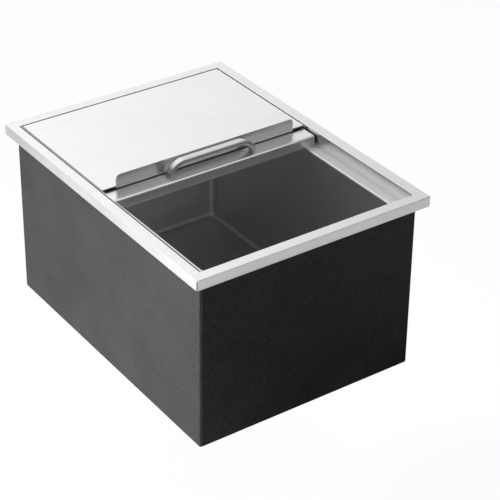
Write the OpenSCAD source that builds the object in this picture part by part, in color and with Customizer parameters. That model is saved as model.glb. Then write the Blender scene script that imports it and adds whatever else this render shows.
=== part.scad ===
// Drop-in ice bin with a sliding cover and a drain that hangs under its floor.
// Millimetres. Z is up, X runs across the bin and Y from its front to its back.
// The origin is the middle of the plane on which the rim sits on a counter.

/* [Rim] */
// Width of the rim, left to right
rim_w = 457; // [400:1:520]
// Length of the rim, front to back
rim_l = 610; // [540:1:700]
// Width of the flat top of the rim, from its edge to the opening
rim_face = 20.5; // [17:0.5:24]
// Height of the folded lip round the rim
lip_h = 19; // [14:0.5:24]
// Width of the return under the lip, which sits on the counter
lip_return = 12; // [8:0.5:14]
// Depth of the recess from the rim's top down to the ledge
recess_h = 24; // [22:0.5:30]
// Thickness of the rim's sheet
rim_t = 1; // [0.8:0.1:1.5]
// Radius of the rim's outer corners
rim_corner = 2.5; // [2:0.5:5]
// Width of the open seam at each corner of the lip
seam_w = 1.6; // [0.4:0.1:2.4]

/* [Body] */
// Height from the rim's top to the underside of the base
total_h = 330; // [290:1:380]
// How far the rim stands out past the body on every side
rim_overhang = 15.5; // [15:0.5:17]
// Thickness of the black case panels
case_t = 0.8; // [0.6:0.1:1.2]
// Outer radius of the bends at the body's upright corners
case_bend = 3; // [2:0.5:5]
// Width of the flanges that turn in behind the front and back panels
case_flange = 14; // [10:1:20]
// Height of the base panel's turned-up edge
base_flange = 12; // [8:1:18]
// Diameter of the hole in the base for the drain
base_hole_d = 140; // [136:1:160]

/* [Tub] */
// Width of the ledge round the tub's mouth
ledge_w = 24; // [20:0.5:30]
// Depth of the tub from the ledge to its floor
tub_h = 275; // [230:1:277]
// Thickness of the tub's sheet
tub_t = 1; // [0.8:0.1:1.5]
// Radius of the tub's upright corners
tub_corner = 12; // [8:1:40]
// Radius where the tub's walls meet its floor
floor_fillet = 10; // [6:1:14]
// Depth of the pressed well round the drain
well_h = 5; // [4:0.5:6]
// Diameter of the pressed well
well_d = 122; // [118:1:128]
// Gap between the foam slabs and the sheets beside them
foam_gap = 0.3; // [0.1:0.1:0.6]

/* [Rear cover] */
// Gap round the covers, to the walls of the recess
cover_gap = 2; // [1:0.1:2.5]
// Thickness of the rear cover's sheet
rear_t = 1.2; // [1:0.1:1.5]
// Height of the rear cover's turned-down edge
rear_edge_h = 3.5; // [3:0.1:4.5]
// Gap between the handle and the upstand behind it
upstand_gap = 6.5; // [5:0.5:12]
// Height of the upstand above the rear cover
upstand_h = 21.5; // [16:0.5:30]
// Width of the upstand
upstand_w = 360; // [300:1:380]
// Radius of the upstand's top corners
upstand_r = 9; // [4:1:12]
// Width of the rails that carry the rear cover
rail_w = 8; // [6:0.5:12]
// Height of the rails
rail_h = 12; // [8:1:15]
// Thickness of the rails
rail_t = 1; // [0.8:0.1:1.2]
// Gap left between a cover and what it rests on
seat_gap = 0.3; // [0.2:0.1:0.4]

/* [Sliding cover] */
// Thickness of the sliding cover's sheet
slide_t = 1; // [0.8:0.1:1.2]
// Gap between the sliding cover's top and the rails above it
slide_gap = 0.4; // [0.3:0.1:0.8]
// Gap between the sliding cover's sides and the rails
slide_side_gap = 1.5; // [1:0.1:2.5]
// Length of the sliding cover, front to back
slide_l = 306; // [300:1:330]
// Gap behind the sliding cover when it is pushed right back
slide_back_gap = 3; // [2:0.5:6]
// Outer radius of the sliding cover's folded edges
slide_bend = 3.5; // [2.5:0.5:5]

/* [Handle] */
// Distance between the middles of the handle's feet
handle_span = 168; // [120:1:220]
// Height of the handle above the sliding cover
handle_h = 27; // [24:0.5:36]
// Depth of the flat bar, front to back
handle_depth = 14; // [10:0.5:18]
// Thickness of the bar
handle_t = 8; // [7:0.5:10]
// Radius of the bar's rounded edges
handle_round = 3; // [2:0.25:3.5]
// Radius of the bends above the feet, to the middle of the bar
handle_bend = 18; // [14:0.5:21]
// Angle that each foot's bend turns through, before the wider shoulder
handle_lean = 50; // [40:1:58]
// Distance of the handle's middle behind the cover's front face
handle_setback = 19.5; // [15:0.5:24]
// Diameter of the handle's screws
screw_d = 4; // [3.5:0.5:4.5]
// How far the screws reach into the handle
screw_reach = 6; // [5:0.5:7]
// Height of the screws' heads
screw_head_h = 3; // [2:0.5:4]

/* [Strainer] */
// Outer diameter of the steel strainer flange
strainer_d = 114; // [112:0.5:116]
// Diameter of the flange's dish
dish_d = 87; // [84:0.5:88]
// Depth of the step that carries the strainer plate
dish_h = 7; // [6:0.5:9]
// Diameter of the strainer's cup below the step
cup_d = 78; // [74:0.5:79]
// Depth of the strainer's cup from the flange's top
cup_h = 28; // [26:0.5:34]
// Diameter of the outlet in the cup's floor
outlet_d = 46; // [40:0.5:48]
// Thickness of the strainer's sheet
strainer_t = 1.2; // [1:0.1:1.4]
// Thickness of the black rubber gasket
gasket_h = 3; // [2:0.5:3]
// Thickness of the white washer under the tub's floor
washer_h = 2; // [1.5:0.5:3]
// Gap between round drain parts and the holes round them
ring_gap = 0.5; // [0.3:0.1:0.8]
// Diameter of the perforated strainer plate
plate_d = 84; // [80:0.5:85.5]
// Height of the strainer plate's rolled edge
plate_edge_h = 4; // [3:0.5:4.5]
// Diameter of the holes in the strainer plate
plate_hole_d = 3.2; // [2.4:0.1:3.8]
// Diameter of the stopper
stopper_d = 93; // [91:0.5:100]
// Height of the stopper's middle knob above its rim
knob_h = 8; // [5:0.5:14]
// Diameter of the stopper's middle knob
knob_d = 30; // [24:1:34]
// Thickness of the stopper's rubber seal
seal_h = 2; // [1.5:0.5:3]

/* [Drain body] */
// Outer diameter of the plastic drain body's flange
drain_d = 130; // [126:1:134]
// Thickness of the drain body's flange
drain_flange_h = 4; // [3:0.5:5]
// Inner diameter of the drain body
drain_cup_d = 96; // [93:0.5:98]
// Wall of the drain body
drain_wall = 3; // [2.5:0.5:4]
// Outer diameter of the drain body's threaded spigot
spigot_d = 51; // [51:0.5:53]
// Length of the spigot
spigot_l = 26; // [26:1:30]
// Wall of the spigot
spigot_wall = 2.3; // [2:0.1:2.5]
// Diameter of the clamping bolt's stem
stem_d = 6; // [5:0.5:6.5]
// Length of the clamping bolt's stem
stem_l = 37; // [34:1:42]
// Width of the black thumb head on the clamping bolt
thumb_w = 26; // [20:1:30]
// Height of the thumb head
thumb_h = 15; // [10:1:17]
// Thickness of the thumb head
thumb_t = 6; // [5:0.5:8]
// Height of the boss that the bolt passes through
boss_h = 16; // [12:1:18]
// Width of the wing nut
wing_w = 15; // [12:0.5:20]
// Height of the wing nut
wing_h = 7; // [5:0.5:8]
// Height of the lock ring on the spigot
lock_h = 5; // [4:0.5:6]
// Radial width of the lock ring
lock_w = 5.5; // [4:0.5:7]

/* [Waste pipe] */
// Outer diameter of the waste pipe
pipe_d = 33; // [30:0.5:36]
// Wall of the waste pipe
pipe_wall = 3; // [2.5:0.5:4]
// Length of the pipe's stub inside the spigot
stub_l = 10; // [8:0.5:10]
// Height of the collar that seals in the spigot
collar_h = 12; // [9:0.5:12]
// Outer diameter of the coupling nut
nut_d = 57; // [56:0.5:62]
// Height of the coupling nut
nut_h = 23; // [20:0.5:26]
// How far the coupling nut screws over the spigot
nut_grip = 14; // [10:0.5:14]
// Height of the narrower ring under the coupling nut
nut_ring_h = 5; // [3:0.5:7]
// Length of waste pipe that shows below the coupling nut
pipe_l = 27; // [22:1:40]
// Clearance of a screw thread round what it screws onto
thread_gap = 0.1; // [0.05:0.05:0.2]

/* [Hose] */
// Outer diameter of the hose nut
hose_nut_d = 41; // [40:0.5:46]
// Height of the hose nut
hose_nut_h = 15; // [14:0.5:18]
// How far the hose nut screws over the waste pipe
hose_nut_grip = 8; // [6:0.5:8]
// Thickness of the flat washer in the hose nut
flat_washer_h = 2; // [1.5:0.5:2.5]
// Height of the cone below the hose nut
cone_h = 9; // [7:0.5:14]
// Diameter of the neck that enters the hose
neck_d = 19.5; // [18:0.5:21]
// Length of the neck that shows
neck_l = 11; // [8:0.5:16]
// Outer diameter of the ribbed hose
hose_d = 23.5; // [23:0.5:25]
// Bore of the ribbed hose
hose_bore = 17; // [16.5:0.5:18]
// Number of ribs on the hose
rib_n = 26; // [16:1:34]
// Depth of the grooves between the ribs
rib_depth = 1.2; // [0.8:0.1:1.6]
// Length of the ribbed stretch
ribbed_l = 121; // [110:1:121]
// Diameter of the hose's plain end, inside the cuff
plain_d = 16; // [14:0.5:16]
// Bore of the plain end
plain_bore = 12.5; // [11:0.5:12.5]
// Length of the plain end
plain_l = 21; // [16:1:21]
// Outer diameter of the end cuff
cuff_d = 19; // [18.5:0.5:21]
// Length of the end cuff
cuff_l = 21; // [18:1:26]

/* [Hidden] */
$fn = 72;

// Cuts run this far past the faces that they open
past = 1;

// Levels of the rim, the tub and the base
rim_z = lip_h;
ledge_z = rim_z - recess_h;
base_z = rim_z - total_h;
floor_z = ledge_z - tub_h;
well_z = floor_z - well_h;

// Outlines across X and Y
opening_w = rim_w - 2*rim_face;
opening_l = rim_l - 2*rim_face;
body_w = rim_w - 2*rim_overhang;
body_l = rim_l - 2*rim_overhang;
case_in_w = body_w - 2*case_t;
sides_l = body_l - 2*case_t;
case_in_l = sides_l - 2*case_t;
tub_w = opening_w - 2*ledge_w;
tub_l = opening_l - 2*ledge_w;

// Top of the rails under the rear cover
rail_top_z = rim_z - rear_edge_h - seat_gap;

// Sliding cover, pushed right back
slide_top_z = rail_top_z - rail_t - slide_gap;
slide_foot_z = ledge_z + seat_gap;
slide_h = slide_top_z - slide_foot_z;
slide_w = opening_w - 2*rail_t - 2*slide_side_gap;
slide_back_y = opening_l/2 - slide_back_gap;
slide_front_y = slide_back_y - slide_l;
handle_y = slide_front_y + handle_setback;
screw_hole_d = screw_d + 2*thread_gap;
screw_head_d = 1.8*screw_d;
foot_rise = 1;
shoulder_rise = handle_h - handle_t/2 - foot_rise - handle_bend*sin(handle_lean);
shoulder_r = shoulder_rise/(1 - sin(handle_lean));
shoulder_x = handle_span/2 - handle_bend + (handle_bend - shoulder_r)*cos(handle_lean);

// Rear cover, whose front edge stands behind the handle
rear_w = opening_w - 2*cover_gap;
rear_front_y = handle_y + handle_depth/2 + upstand_gap;
rear_back_y = opening_l/2 - cover_gap;
rear_l = rear_back_y - rear_front_y;
rail_l = rear_l - 2*cover_gap;

// Levels down the drain
flange_z = well_z + gasket_h + strainer_t;
step_z = flange_z - dish_h;
cup_z = flange_z - cup_h;
tub_under_z = well_z - tub_t;
drain_top_z = tub_under_z - washer_h;
boss_top_z = cup_z - strainer_t;
drain_floor_gap = 2.8;
drain_floor_z = boss_top_z - drain_floor_gap;
spigot_top_z = drain_floor_z - drain_wall;
spigot_end_z = spigot_top_z - spigot_l;
boss_end_z = boss_top_z - boss_h;
drain_spoke_h = 6;

// Rings round the drain
tub_hole_d = dish_d + 2*strainer_t + 2*ring_gap;
gasket_d = strainer_d - 2*ring_gap;
tub_washer_d = well_d - 12;
boss_d = 2.5*stem_d;
thumb_core_d = stem_d + 4;
lug_w = 8;
lug_reach = 4;
wing_t = 3;
wing_rise = 0.7*wing_h;
stem_hole_d = stem_d + 2*ring_gap;
hub_d = 13;
spoke_w = 4;
spoke_offset = 3;

// Strainer plate and stopper
plate_z = step_z + seat_gap;
plate_ring_r = [10, 16, 22, 28];
plate_ring_n = [8, 14, 18, 24];
stopper_z = flange_z + seat_gap + seal_h;
stopper_dish_d = 70;
stopper_dish_h = 3;
seal_d = stopper_d - 1;
seal_bore = dish_d - 5;

// Levels of the waste pipe and the hose
collar_top_z = spigot_end_z + collar_h;
stub_top_z = collar_top_z + stub_l;
nut_top_z = spigot_end_z + nut_grip;
nut_end_z = nut_top_z - nut_h;
nut_ring_z = nut_end_z - nut_ring_h;
nut_ring_d = pipe_d + 6.5;
nut_chamfer = 3;
grip_n = 12;
grip_w = 6;
grip_t = 3;
pipe_end_z = nut_ring_z - pipe_l;
pipe_bore = pipe_d - 2*pipe_wall;
hose_nut_z = pipe_end_z + hose_nut_grip;
hose_nut_end_z = hose_nut_z - hose_nut_h;
neck_flange_z = pipe_end_z - flat_washer_h;
neck_flange_h = 2.5;
neck_lip_d = pipe_d - 4.7;
cone_end_z = hose_nut_end_z - cone_h;
hose_z = cone_end_z - neck_l;
neck_bore = neck_d - 6.5;
barb_d = 15.2;
barb_l = 12;

// The hose's middle line, from its top end, as it hangs and swings to the back
ROUTE = [
    [0, 0, 0], [0, 0, -8], [0, 0, -16], [0, 0, -24], [0, 0.5, -32],
    [0, 1, -40], [0, 2.5, -48], [0, 5, -55.5], [0, 7.5, -63], [0, 10.5, -70.5],
    [0, 14.5, -77.5], [0, 19, -84], [0, 23.5, -90.5], [0, 28.5, -96.5],
    [0, 33.5, -102.5], [0, 38.5, -108.5], [0, 43.5, -114.5],
    [0, 48.5, -120.5], [0, 53.5, -126.5]
];
hose_sides = 8;

steel = [0.83, 0.83, 0.82];
steel_dark = [0.62, 0.62, 0.61];
black_coat = [0.13, 0.13, 0.13];
foam_white = [0.93, 0.91, 0.85];
drain_grey = [0.42, 0.40, 0.45];
pipe_grey = [0.58, 0.58, 0.64];
rubber_black = [0.10, 0.10, 0.12];
washer_white = [0.92, 0.92, 0.95];

// A flat rectangle with round corners
module plate2(w, l, r) {
    square([w - 2*r, l], center = true);
    square([w, l - 2*r], center = true);
    for (x = [-1, 1], y = [-1, 1])
        translate([x*(w/2 - r), y*(l/2 - r)])
            circle(r);
}

// An upright block of that outline between two levels
module block(w, l, r, low, high) {
    translate([0, 0, low])
        linear_extrude(high - low)
            plate2(w, l, r);
}

// A frame whose band is t wide, measured inwards
module band(w, l, r, t, low, high) {
    difference() {
        block(w, l, r, low, high);
        block(w - 2*t, l - 2*t, max(r - t, 0.2), low - past, high + past);
    }
}

// A basin-shaped block: round upright corners and a fillet round its floor
module basin(w, l, r, fillet, low, high) {
    block(w, l, r, low + fillet, high);
    block(w - 2*fillet, l - 2*fillet, r - fillet, low, low + fillet + past);
    for (y = [-1, 1])
        translate([0, y*(l/2 - fillet), low + fillet])
            rotate([0, 90, 0])
                cylinder(r = fillet, h = w - 2*r, center = true);
    for (x = [-1, 1])
        translate([x*(w/2 - fillet), 0, low + fillet])
            rotate([90, 0, 0])
                cylinder(r = fillet, h = l - 2*r, center = true);
    for (x = [-1, 1], y = [-1, 1])
        translate([x*(w/2 - r), y*(l/2 - r), low + fillet])
            rotate_extrude()
                intersection() {
                    translate([r - fillet, 0])
                        circle(fillet);
                    translate([0, -fillet])
                        square([r, 2*fillet]);
                }
}

// A flat outline that stands on its straight lower edge, with round top corners
module round_top(w, h, r) {
    translate([-w/2, 0])
        square([w, h - r]);
    translate([-w/2 + r, 0])
        square([w - 2*r, h]);
    intersection() {
        for (x = [-1, 1])
            translate([x*(w/2 - r), h - r])
                circle(r);
        translate([-w/2, 0])
            square([w, h]);
    }
}

// A ring or tube between two levels
module tube(d, bore, low, high) {
    translate([0, 0, low])
        difference() {
            cylinder(d = d, h = high - low);
            translate([0, 0, -past])
                cylinder(d = bore, h = high - low + 2*past);
        }
}

// A disc between two levels
module disc(d, low, high) {
    translate([0, 0, low])
        cylinder(d = d, h = high - low);
}

// The folded steel rim: top, lip, return, recess wall and foot
foot_w = (case_in_l - opening_l)/2 - foam_gap;
module rim_frame() {
    color(steel)
    difference() {
        union() {
            band(rim_w, rim_l, rim_corner, rim_face, rim_z - rim_t, rim_z);
            band(rim_w, rim_l, rim_corner, rim_t, 0, rim_z);
            band(rim_w, rim_l, rim_corner, lip_return, 0, rim_t);
            band(opening_w + 2*rim_t, opening_l + 2*rim_t, rim_t + 0.5, rim_t, ledge_z, rim_z);
            band(opening_w + 2*foot_w, opening_l + 2*foot_w, foot_w, foot_w, ledge_z, ledge_z + rim_t);
        }
        for (x = [-1, 1], y = [-1, 1])
            translate([x*rim_w/2, y*rim_l/2, (rim_z - rim_t)/2 - past/2])
                rotate([0, 0, x*y*45])
                    cube([4*rim_corner, seam_w, rim_z - rim_t + past], center = true);
    }
}

// The tub with the ledge round its mouth and the well round its drain
module tub() {
    ledge_l = case_in_l - 2*foam_gap;
    ledge_x = case_in_w - 2*foam_gap;
    color(steel_dark)
    difference() {
        union() {
            block(ledge_x, ledge_l, case_bend, ledge_z - tub_t, ledge_z);
            basin(tub_w + 2*tub_t, tub_l + 2*tub_t, tub_corner + tub_t,
                floor_fillet + tub_t, floor_z - tub_t, ledge_z - tub_t/2);
            disc(well_d + 2*tub_t, tub_under_z, floor_z);
        }
        basin(tub_w, tub_l, tub_corner, floor_fillet, floor_z, ledge_z + past);
        disc(well_d, well_z, floor_z + past);
        disc(tub_hole_d, tub_under_z - past, floor_z);
    }
}

// The two side panels turn round the corners and pass behind the front and back
module side_panel(side) {
    color(black_coat)
    intersection() {
        band(body_w, sides_l, case_bend, case_t, base_z, rim_z - rim_t);
        translate([side*(body_w/2 - case_flange/2 + past/2), 0, 0])
            cube([case_flange + past, body_l + 2*past, 3*total_h], center = true);
    }
}
module case_left() { side_panel(-1); }
module case_right() { side_panel(1); }

// The front and back panels lie on the side panels' flanges
module end_panel(side) {
    color(black_coat)
    translate([0, side*(sides_l/2 + case_t/2), (base_z + rim_z - rim_t)/2])
        cube([body_w - 2*case_bend - foam_gap, case_t, rim_z - rim_t - base_z], center = true);
}
module case_front() { end_panel(-1); }
module case_back() { end_panel(1); }

// The base closes the case and has the hole for the drain
module base_panel() {
    w = case_in_w - foam_gap/2;
    l = case_in_l - foam_gap/2;
    color(black_coat)
    difference() {
        union() {
            block(w, l, case_bend - case_t/2, base_z, base_z + case_t);
            band(w, l, case_bend - case_t/2, case_t, base_z, base_z + base_flange);
        }
        disc(base_hole_d, base_z - past, base_z + case_t + past);
    }
}

// Foam slabs fill the space between the tub and the case
foam_top_z = ledge_z - tub_t - foam_gap;
foam_low_z = floor_z - tub_t;
module foam_side(side) {
    inner = tub_w/2 + tub_t + foam_gap;
    outer = case_in_w/2 - foam_gap;
    color(foam_white)
    translate([side*(inner + outer)/2, 0, (foam_top_z + foam_low_z)/2])
        cube([outer - inner, tub_l + 2*tub_t, foam_top_z - foam_low_z], center = true);
}
module foam_end(side) {
    inner = tub_l/2 + tub_t + foam_gap;
    outer = case_in_l/2 - foam_gap;
    color(foam_white)
    translate([0, side*(inner + outer)/2, (foam_top_z + foam_low_z)/2])
        cube([case_in_w - 2*foam_gap - 2*case_t, outer - inner, foam_top_z - foam_low_z], center = true);
}
module foam_left() { foam_side(-1); }
module foam_right() { foam_side(1); }
module foam_front() { foam_end(-1); }
module foam_back() { foam_end(1); }

module foam_base() {
    inset = 2*case_t + 4*foam_gap;
    high = foam_low_z - foam_gap;
    color(foam_white)
    difference() {
        block(case_in_w - inset, case_in_l - inset, case_bend, base_z + case_t, high);
        disc(base_hole_d, base_z - past, high + past);
    }
}

// Angle rails on the recess walls carry the rear cover
module rail(side) {
    mid_y = rear_front_y + rear_l/2;
    color(steel_dark)
    union() {
        translate([side*(opening_w/2 - rail_w/2), mid_y, rail_top_z - rail_t/2])
            cube([rail_w, rail_l, rail_t], center = true);
        translate([side*(opening_w/2 - rail_t/2), mid_y, rail_top_z - rail_h/2])
            cube([rail_t, rail_l, rail_h], center = true);
    }
}
module rail_left() { rail(-1); }
module rail_right() { rail(1); }

// The rear cover: its edges turn down, and a strip along its front stands up
module rear_cover() {
    bend = 0.6*rear_edge_h;
    low = rim_z - rear_edge_h;
    color(steel)
    union() {
        difference() {
            translate([0, rear_back_y, low])
                rotate([90, 0, 0])
                    linear_extrude(rear_l)
                        round_top(rear_w, rear_edge_h, bend);
            translate([0, rear_back_y - rear_t, low - past])
                rotate([90, 0, 0])
                    linear_extrude(rear_l - 2*rear_t)
                        round_top(rear_w - 2*rear_t, rear_edge_h - rear_t + past, bend - rear_t);
        }
        translate([0, rear_front_y + rear_t, low])
            rotate([90, 0, 0])
                linear_extrude(rear_t)
                    round_top(upstand_w, rear_edge_h + upstand_h, upstand_r);
    }
}

// The sliding cover: a shallow pan turned upside down
module sliding_cover() {
    mid_y = (slide_front_y + slide_back_y)/2;
    color(steel)
    difference() {
        translate([-slide_w/2, mid_y, slide_foot_z])
            rotate([90, 0, 90])
                linear_extrude(slide_w)
                    round_top(slide_l, slide_h, slide_bend);
        translate([-slide_w/2 + slide_t, mid_y, slide_foot_z - past])
            rotate([90, 0, 90])
                linear_extrude(slide_w - 2*slide_t)
                    round_top(slide_l - 2*slide_t, slide_h - slide_t + past, slide_bend - slide_t);
        at_feet()
            translate([0, 0, -slide_t - past])
                cylinder(d = screw_hole_d, h = slide_t + 2*past);
    }
}

// Places its children under each foot of the handle
module at_feet() {
    for (x = [-1, 1])
        translate([x*handle_span/2, handle_y, slide_top_z])
            children();
}

// A curved stretch of the handle: its centre is at x and z, and it runs between two angles
module handle_arc(x, z, r, from, to) {
    translate([x, 0, z])
        rotate([90, 0, 0])
            rotate([0, 0, from])
                rotate_extrude(angle = to - from)
                    translate([r, 0])
                        plate2(handle_t, handle_depth, handle_round);
}

// The bar's core, carried a little way through both stretches where two of them meet
module handle_core(x, z, lean) {
    translate([x, 0, z])
        rotate([0, -lean, 0])
            cube([handle_t - handle_round, handle_depth - handle_round, handle_round/2], center = true);
}

// The handle: feet that bend inwards, wide shoulders and a straight bar
module handle() {
    color(steel_dark)
    difference() {
        union() {
            at_feet()
                linear_extrude(foot_rise)
                    plate2(handle_t, handle_depth, handle_round);
            for (side = [0, 180])
                translate([0, handle_y, slide_top_z])
                    rotate([0, 0, side]) {
                        handle_arc(handle_span/2 - handle_bend, foot_rise, handle_bend, 0, handle_lean);
                        handle_arc(shoulder_x, handle_h - handle_t/2 - shoulder_r, shoulder_r, handle_lean, 90);
                        handle_core(shoulder_x + shoulder_r*cos(handle_lean), foot_rise + handle_bend*sin(handle_lean), handle_lean);
                        handle_core(shoulder_x, handle_h - handle_t/2, 90);
                    }
            translate([-shoulder_x, handle_y, slide_top_z + handle_h - handle_t/2])
                rotate([0, 90, 0])
                    linear_extrude(2*shoulder_x)
                        plate2(handle_t, handle_depth, handle_round);
        }
        at_feet()
            translate([0, 0, -past])
                cylinder(d = screw_hole_d, h = screw_reach + past);
    }
}

// Two screws hold the handle from below
module handle_screws() {
    color(steel_dark)
    at_feet() {
        translate([0, 0, -slide_t - screw_head_h])
            cylinder(d = screw_head_d, h = screw_head_h);
        translate([0, 0, -slide_t - screw_head_h/2])
            cylinder(d = screw_d, h = slide_t + screw_head_h/2 + screw_reach - ring_gap);
    }
}

// The steel flange in the tub's floor: dish, step, cup and a hub on four spokes
module strainer_flange() {
    color(steel)
    difference() {
        union() {
            disc(strainer_d, flange_z - strainer_t, flange_z);
            disc(dish_d + 2*strainer_t, step_z - strainer_t, flange_z);
            disc(cup_d + 2*strainer_t, cup_z - strainer_t, flange_z);
        }
        disc(dish_d, step_z, flange_z + past);
        disc(cup_d, cup_z, flange_z + past);
        difference() {
            disc(outlet_d, cup_z - strainer_t - past, cup_z + past);
            for (a = [0:90:270])
                rotate([0, 0, a + 12])
                    translate([0, spoke_offset - spoke_w/2, cup_z - strainer_t - 2*past])
                        cube([outlet_d, spoke_w, strainer_t + 4*past]);
            disc(hub_d, cup_z - strainer_t - 2*past, cup_z + 2*past);
        }
        disc(stem_hole_d, cup_z - strainer_t - past, cup_z + past);
    }
}

// The black rubber gasket lies under the steel flange
module flange_gasket() {
    color(rubber_black)
    tube(gasket_d, tub_hole_d, well_z, well_z + gasket_h);
}

// The white washer lies between the tub and the drain body
module tub_washer() {
    color(washer_white)
    tube(tub_washer_d, tub_hole_d, drain_top_z, tub_under_z);
}

// The plastic drain body: flange, cup, spigot and a boss on four ribs
module drain_body() {
    bore = spigot_d - 2*spigot_wall;
    color(drain_grey)
    difference() {
        union() {
            disc(drain_d, drain_top_z - drain_flange_h, drain_top_z);
            disc(drain_cup_d + 2*drain_wall, spigot_top_z, drain_top_z);
            disc(spigot_d, spigot_end_z, spigot_top_z + past);
            disc(boss_d, drain_floor_z - past, boss_top_z);
        }
        difference() {
            disc(drain_cup_d, drain_floor_z, drain_top_z + past);
            disc(boss_d, drain_floor_z - past, boss_top_z);
        }
        difference() {
            disc(bore, spigot_end_z - past, drain_floor_z + past/2);
            disc(boss_d, boss_end_z, boss_top_z);
            for (a = [45, 135])
                rotate([0, 0, a])
                    translate([-bore, -drain_wall/2, drain_floor_z - drain_spoke_h])
                        cube([2*bore, drain_wall, drain_spoke_h]);
        }
        disc(stem_d + 2*thread_gap, boss_end_z - past, boss_top_z + past);
    }
}

// The clamping bolt: a steel stem through the hub and the boss
module clamp_bolt() {
    color(steel_dark)
    disc(stem_d, cup_z - stem_l, cup_z + thumb_h/2);
}

// Its black thumb head, a half disc that stands on the hub
module thumb_head() {
    color(rubber_black)
    difference() {
        union() {
            intersection() {
                translate([0, thumb_t/2, cup_z])
                    rotate([90, 0, 0])
                        cylinder(d = thumb_w, h = thumb_t);
                translate([0, 0, cup_z + thumb_w/2])
                    cube([2*thumb_w, 2*thumb_w, thumb_w], center = true);
            }
            disc(thumb_core_d, cup_z, cup_z + thumb_h);
        }
        disc(stem_d + 2*thread_gap, cup_z - past, cup_z + thumb_h/2 + thread_gap);
    }
}

// The wing nut under the boss
module wing_nut() {
    nut_z = boss_end_z - ring_gap;
    color(rubber_black)
    difference() {
        union() {
            disc(thumb_core_d, nut_z - wing_h, nut_z);
            translate([-wing_w/2, -wing_t/2, nut_z - wing_h])
                cube([wing_w, wing_t, wing_rise]);
        }
        disc(stem_d + 2*thread_gap, nut_z - wing_h - past, nut_z + past);
    }
}

// The perforated strainer plate rests on the flange's step
module strainer_plate() {
    color(steel)
    difference() {
        disc(plate_d, plate_z, plate_z + plate_edge_h);
        disc(plate_d - 12, plate_z + strainer_t, plate_z + plate_edge_h + past);
        for (k = [0:len(plate_ring_r) - 1], i = [0:plate_ring_n[k] - 1])
            rotate([0, 0, (i + k/2)*360/plate_ring_n[k]])
                translate([plate_ring_r[k], 0, plate_z - past])
                    cylinder(d = plate_hole_d, h = strainer_t + 2*past);
    }
}

// The stopper: a pressed dish with a knob in its middle
module stopper() {
    t = strainer_t;
    color(steel)
    translate([0, 0, stopper_z])
        rotate_extrude()
            polygon([
                [0, knob_h], [knob_d/2 - 5, knob_h], [knob_d/2, -stopper_dish_h + t],
                [stopper_dish_d/2 - t, -stopper_dish_h + t], [stopper_dish_d/2 - t, t],
                [stopper_d/2, t], [stopper_d/2, 0], [stopper_dish_d/2, 0],
                [stopper_dish_d/2, -stopper_dish_h], [knob_d/2 - t, -stopper_dish_h],
                [knob_d/2 - 5 - t, knob_h - t], [0, knob_h - t]
            ]);
}

module stopper_seal() {
    color(rubber_black)
    tube(seal_d, seal_bore, flange_z + seat_gap, stopper_z);
}

// The lock ring with its two lugs, on the spigot above the coupling nut
module lock_ring() {
    bore = spigot_d + 2*thread_gap;
    low = nut_top_z + ring_gap;
    color(steel_dark)
    difference() {
        union() {
            disc(bore + 2*lock_w, low, low + lock_h);
            for (a = [0, 180])
                rotate([0, 0, a])
                    translate([bore/2 + lock_w/2, -lug_w/2, low])
                        cube([lock_w/2 + lug_reach, lug_w, lock_h]);
        }
        disc(bore, low - past, low + lock_h + past);
    }
}

// The waste pipe: a stub and a collar inside the spigot, and the pipe below
module waste_pipe() {
    collar_d = spigot_d - 2*spigot_wall - 2*ring_gap;
    color(pipe_grey)
    difference() {
        union() {
            disc(pipe_d, pipe_end_z, stub_top_z);
            disc(collar_d, spigot_end_z, collar_top_z);
        }
        disc(pipe_bore, pipe_end_z - past, stub_top_z + past);
    }
}

// The coupling nut pulls the collar up into the spigot
module coupling_nut() {
    lip_z = spigot_end_z - thread_gap;
    color(pipe_grey)
    difference() {
        union() {
            disc(nut_d, nut_end_z + nut_chamfer, nut_top_z);
            translate([0, 0, nut_end_z])
                cylinder(d1 = nut_d - 2*nut_chamfer, d2 = nut_d, h = nut_chamfer);
            disc(nut_ring_d, nut_ring_z, nut_end_z + past);
        }
        disc(spigot_d + 2*thread_gap, lip_z, nut_top_z + past);
        disc(pipe_d + 2*thread_gap, nut_ring_z - past, nut_top_z);
    }
}

// The hose nut holds the neck's flange against the end of the waste pipe
module hose_nut() {
    bore = pipe_d + 2*thread_gap;
    lip_z = neck_flange_z - neck_flange_h - thread_gap;
    color(pipe_grey)
    difference() {
        union() {
            disc(hose_nut_d - 2, hose_nut_end_z, hose_nut_z);
            for (a = [0:360/grip_n:359])
                rotate([0, 0, a])
                    translate([hose_nut_d/2 - grip_t, -grip_w/2, hose_nut_end_z])
                        cube([grip_t, grip_w, hose_nut_h - 1]);
        }
        disc(bore, lip_z, hose_nut_z + past);
        disc(neck_lip_d + 2*thread_gap, hose_nut_end_z - past, hose_nut_z);
    }
}

module flat_washer() {
    color(rubber_black)
    tube(pipe_d - ring_gap, pipe_bore, neck_flange_z, pipe_end_z);
}

// The neck: a flange in the nut, a cone, and a barb inside the hose
module hose_neck() {
    low = neck_flange_z - neck_flange_h;
    color(pipe_grey)
    translate([0, 0, hose_z])
        rotate_extrude()
            polygon([
                [neck_bore/2, -barb_l], [barb_d/2, -barb_l], [barb_d/2, 0],
                [neck_d/2, 0], [neck_d/2, neck_l], [neck_lip_d/2, hose_nut_end_z - hose_z],
                [neck_lip_d/2, low - hose_z], [pipe_d/2 - ring_gap, low - hose_z],
                [pipe_d/2 - ring_gap, neck_flange_z - hose_z],
                [neck_lip_d/2 - 2.5, neck_flange_z - hose_z],
                [neck_lip_d/2 - 2.5, hose_nut_end_z - hose_z], [neck_bore/2, neck_l]
            ]);
}

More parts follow.
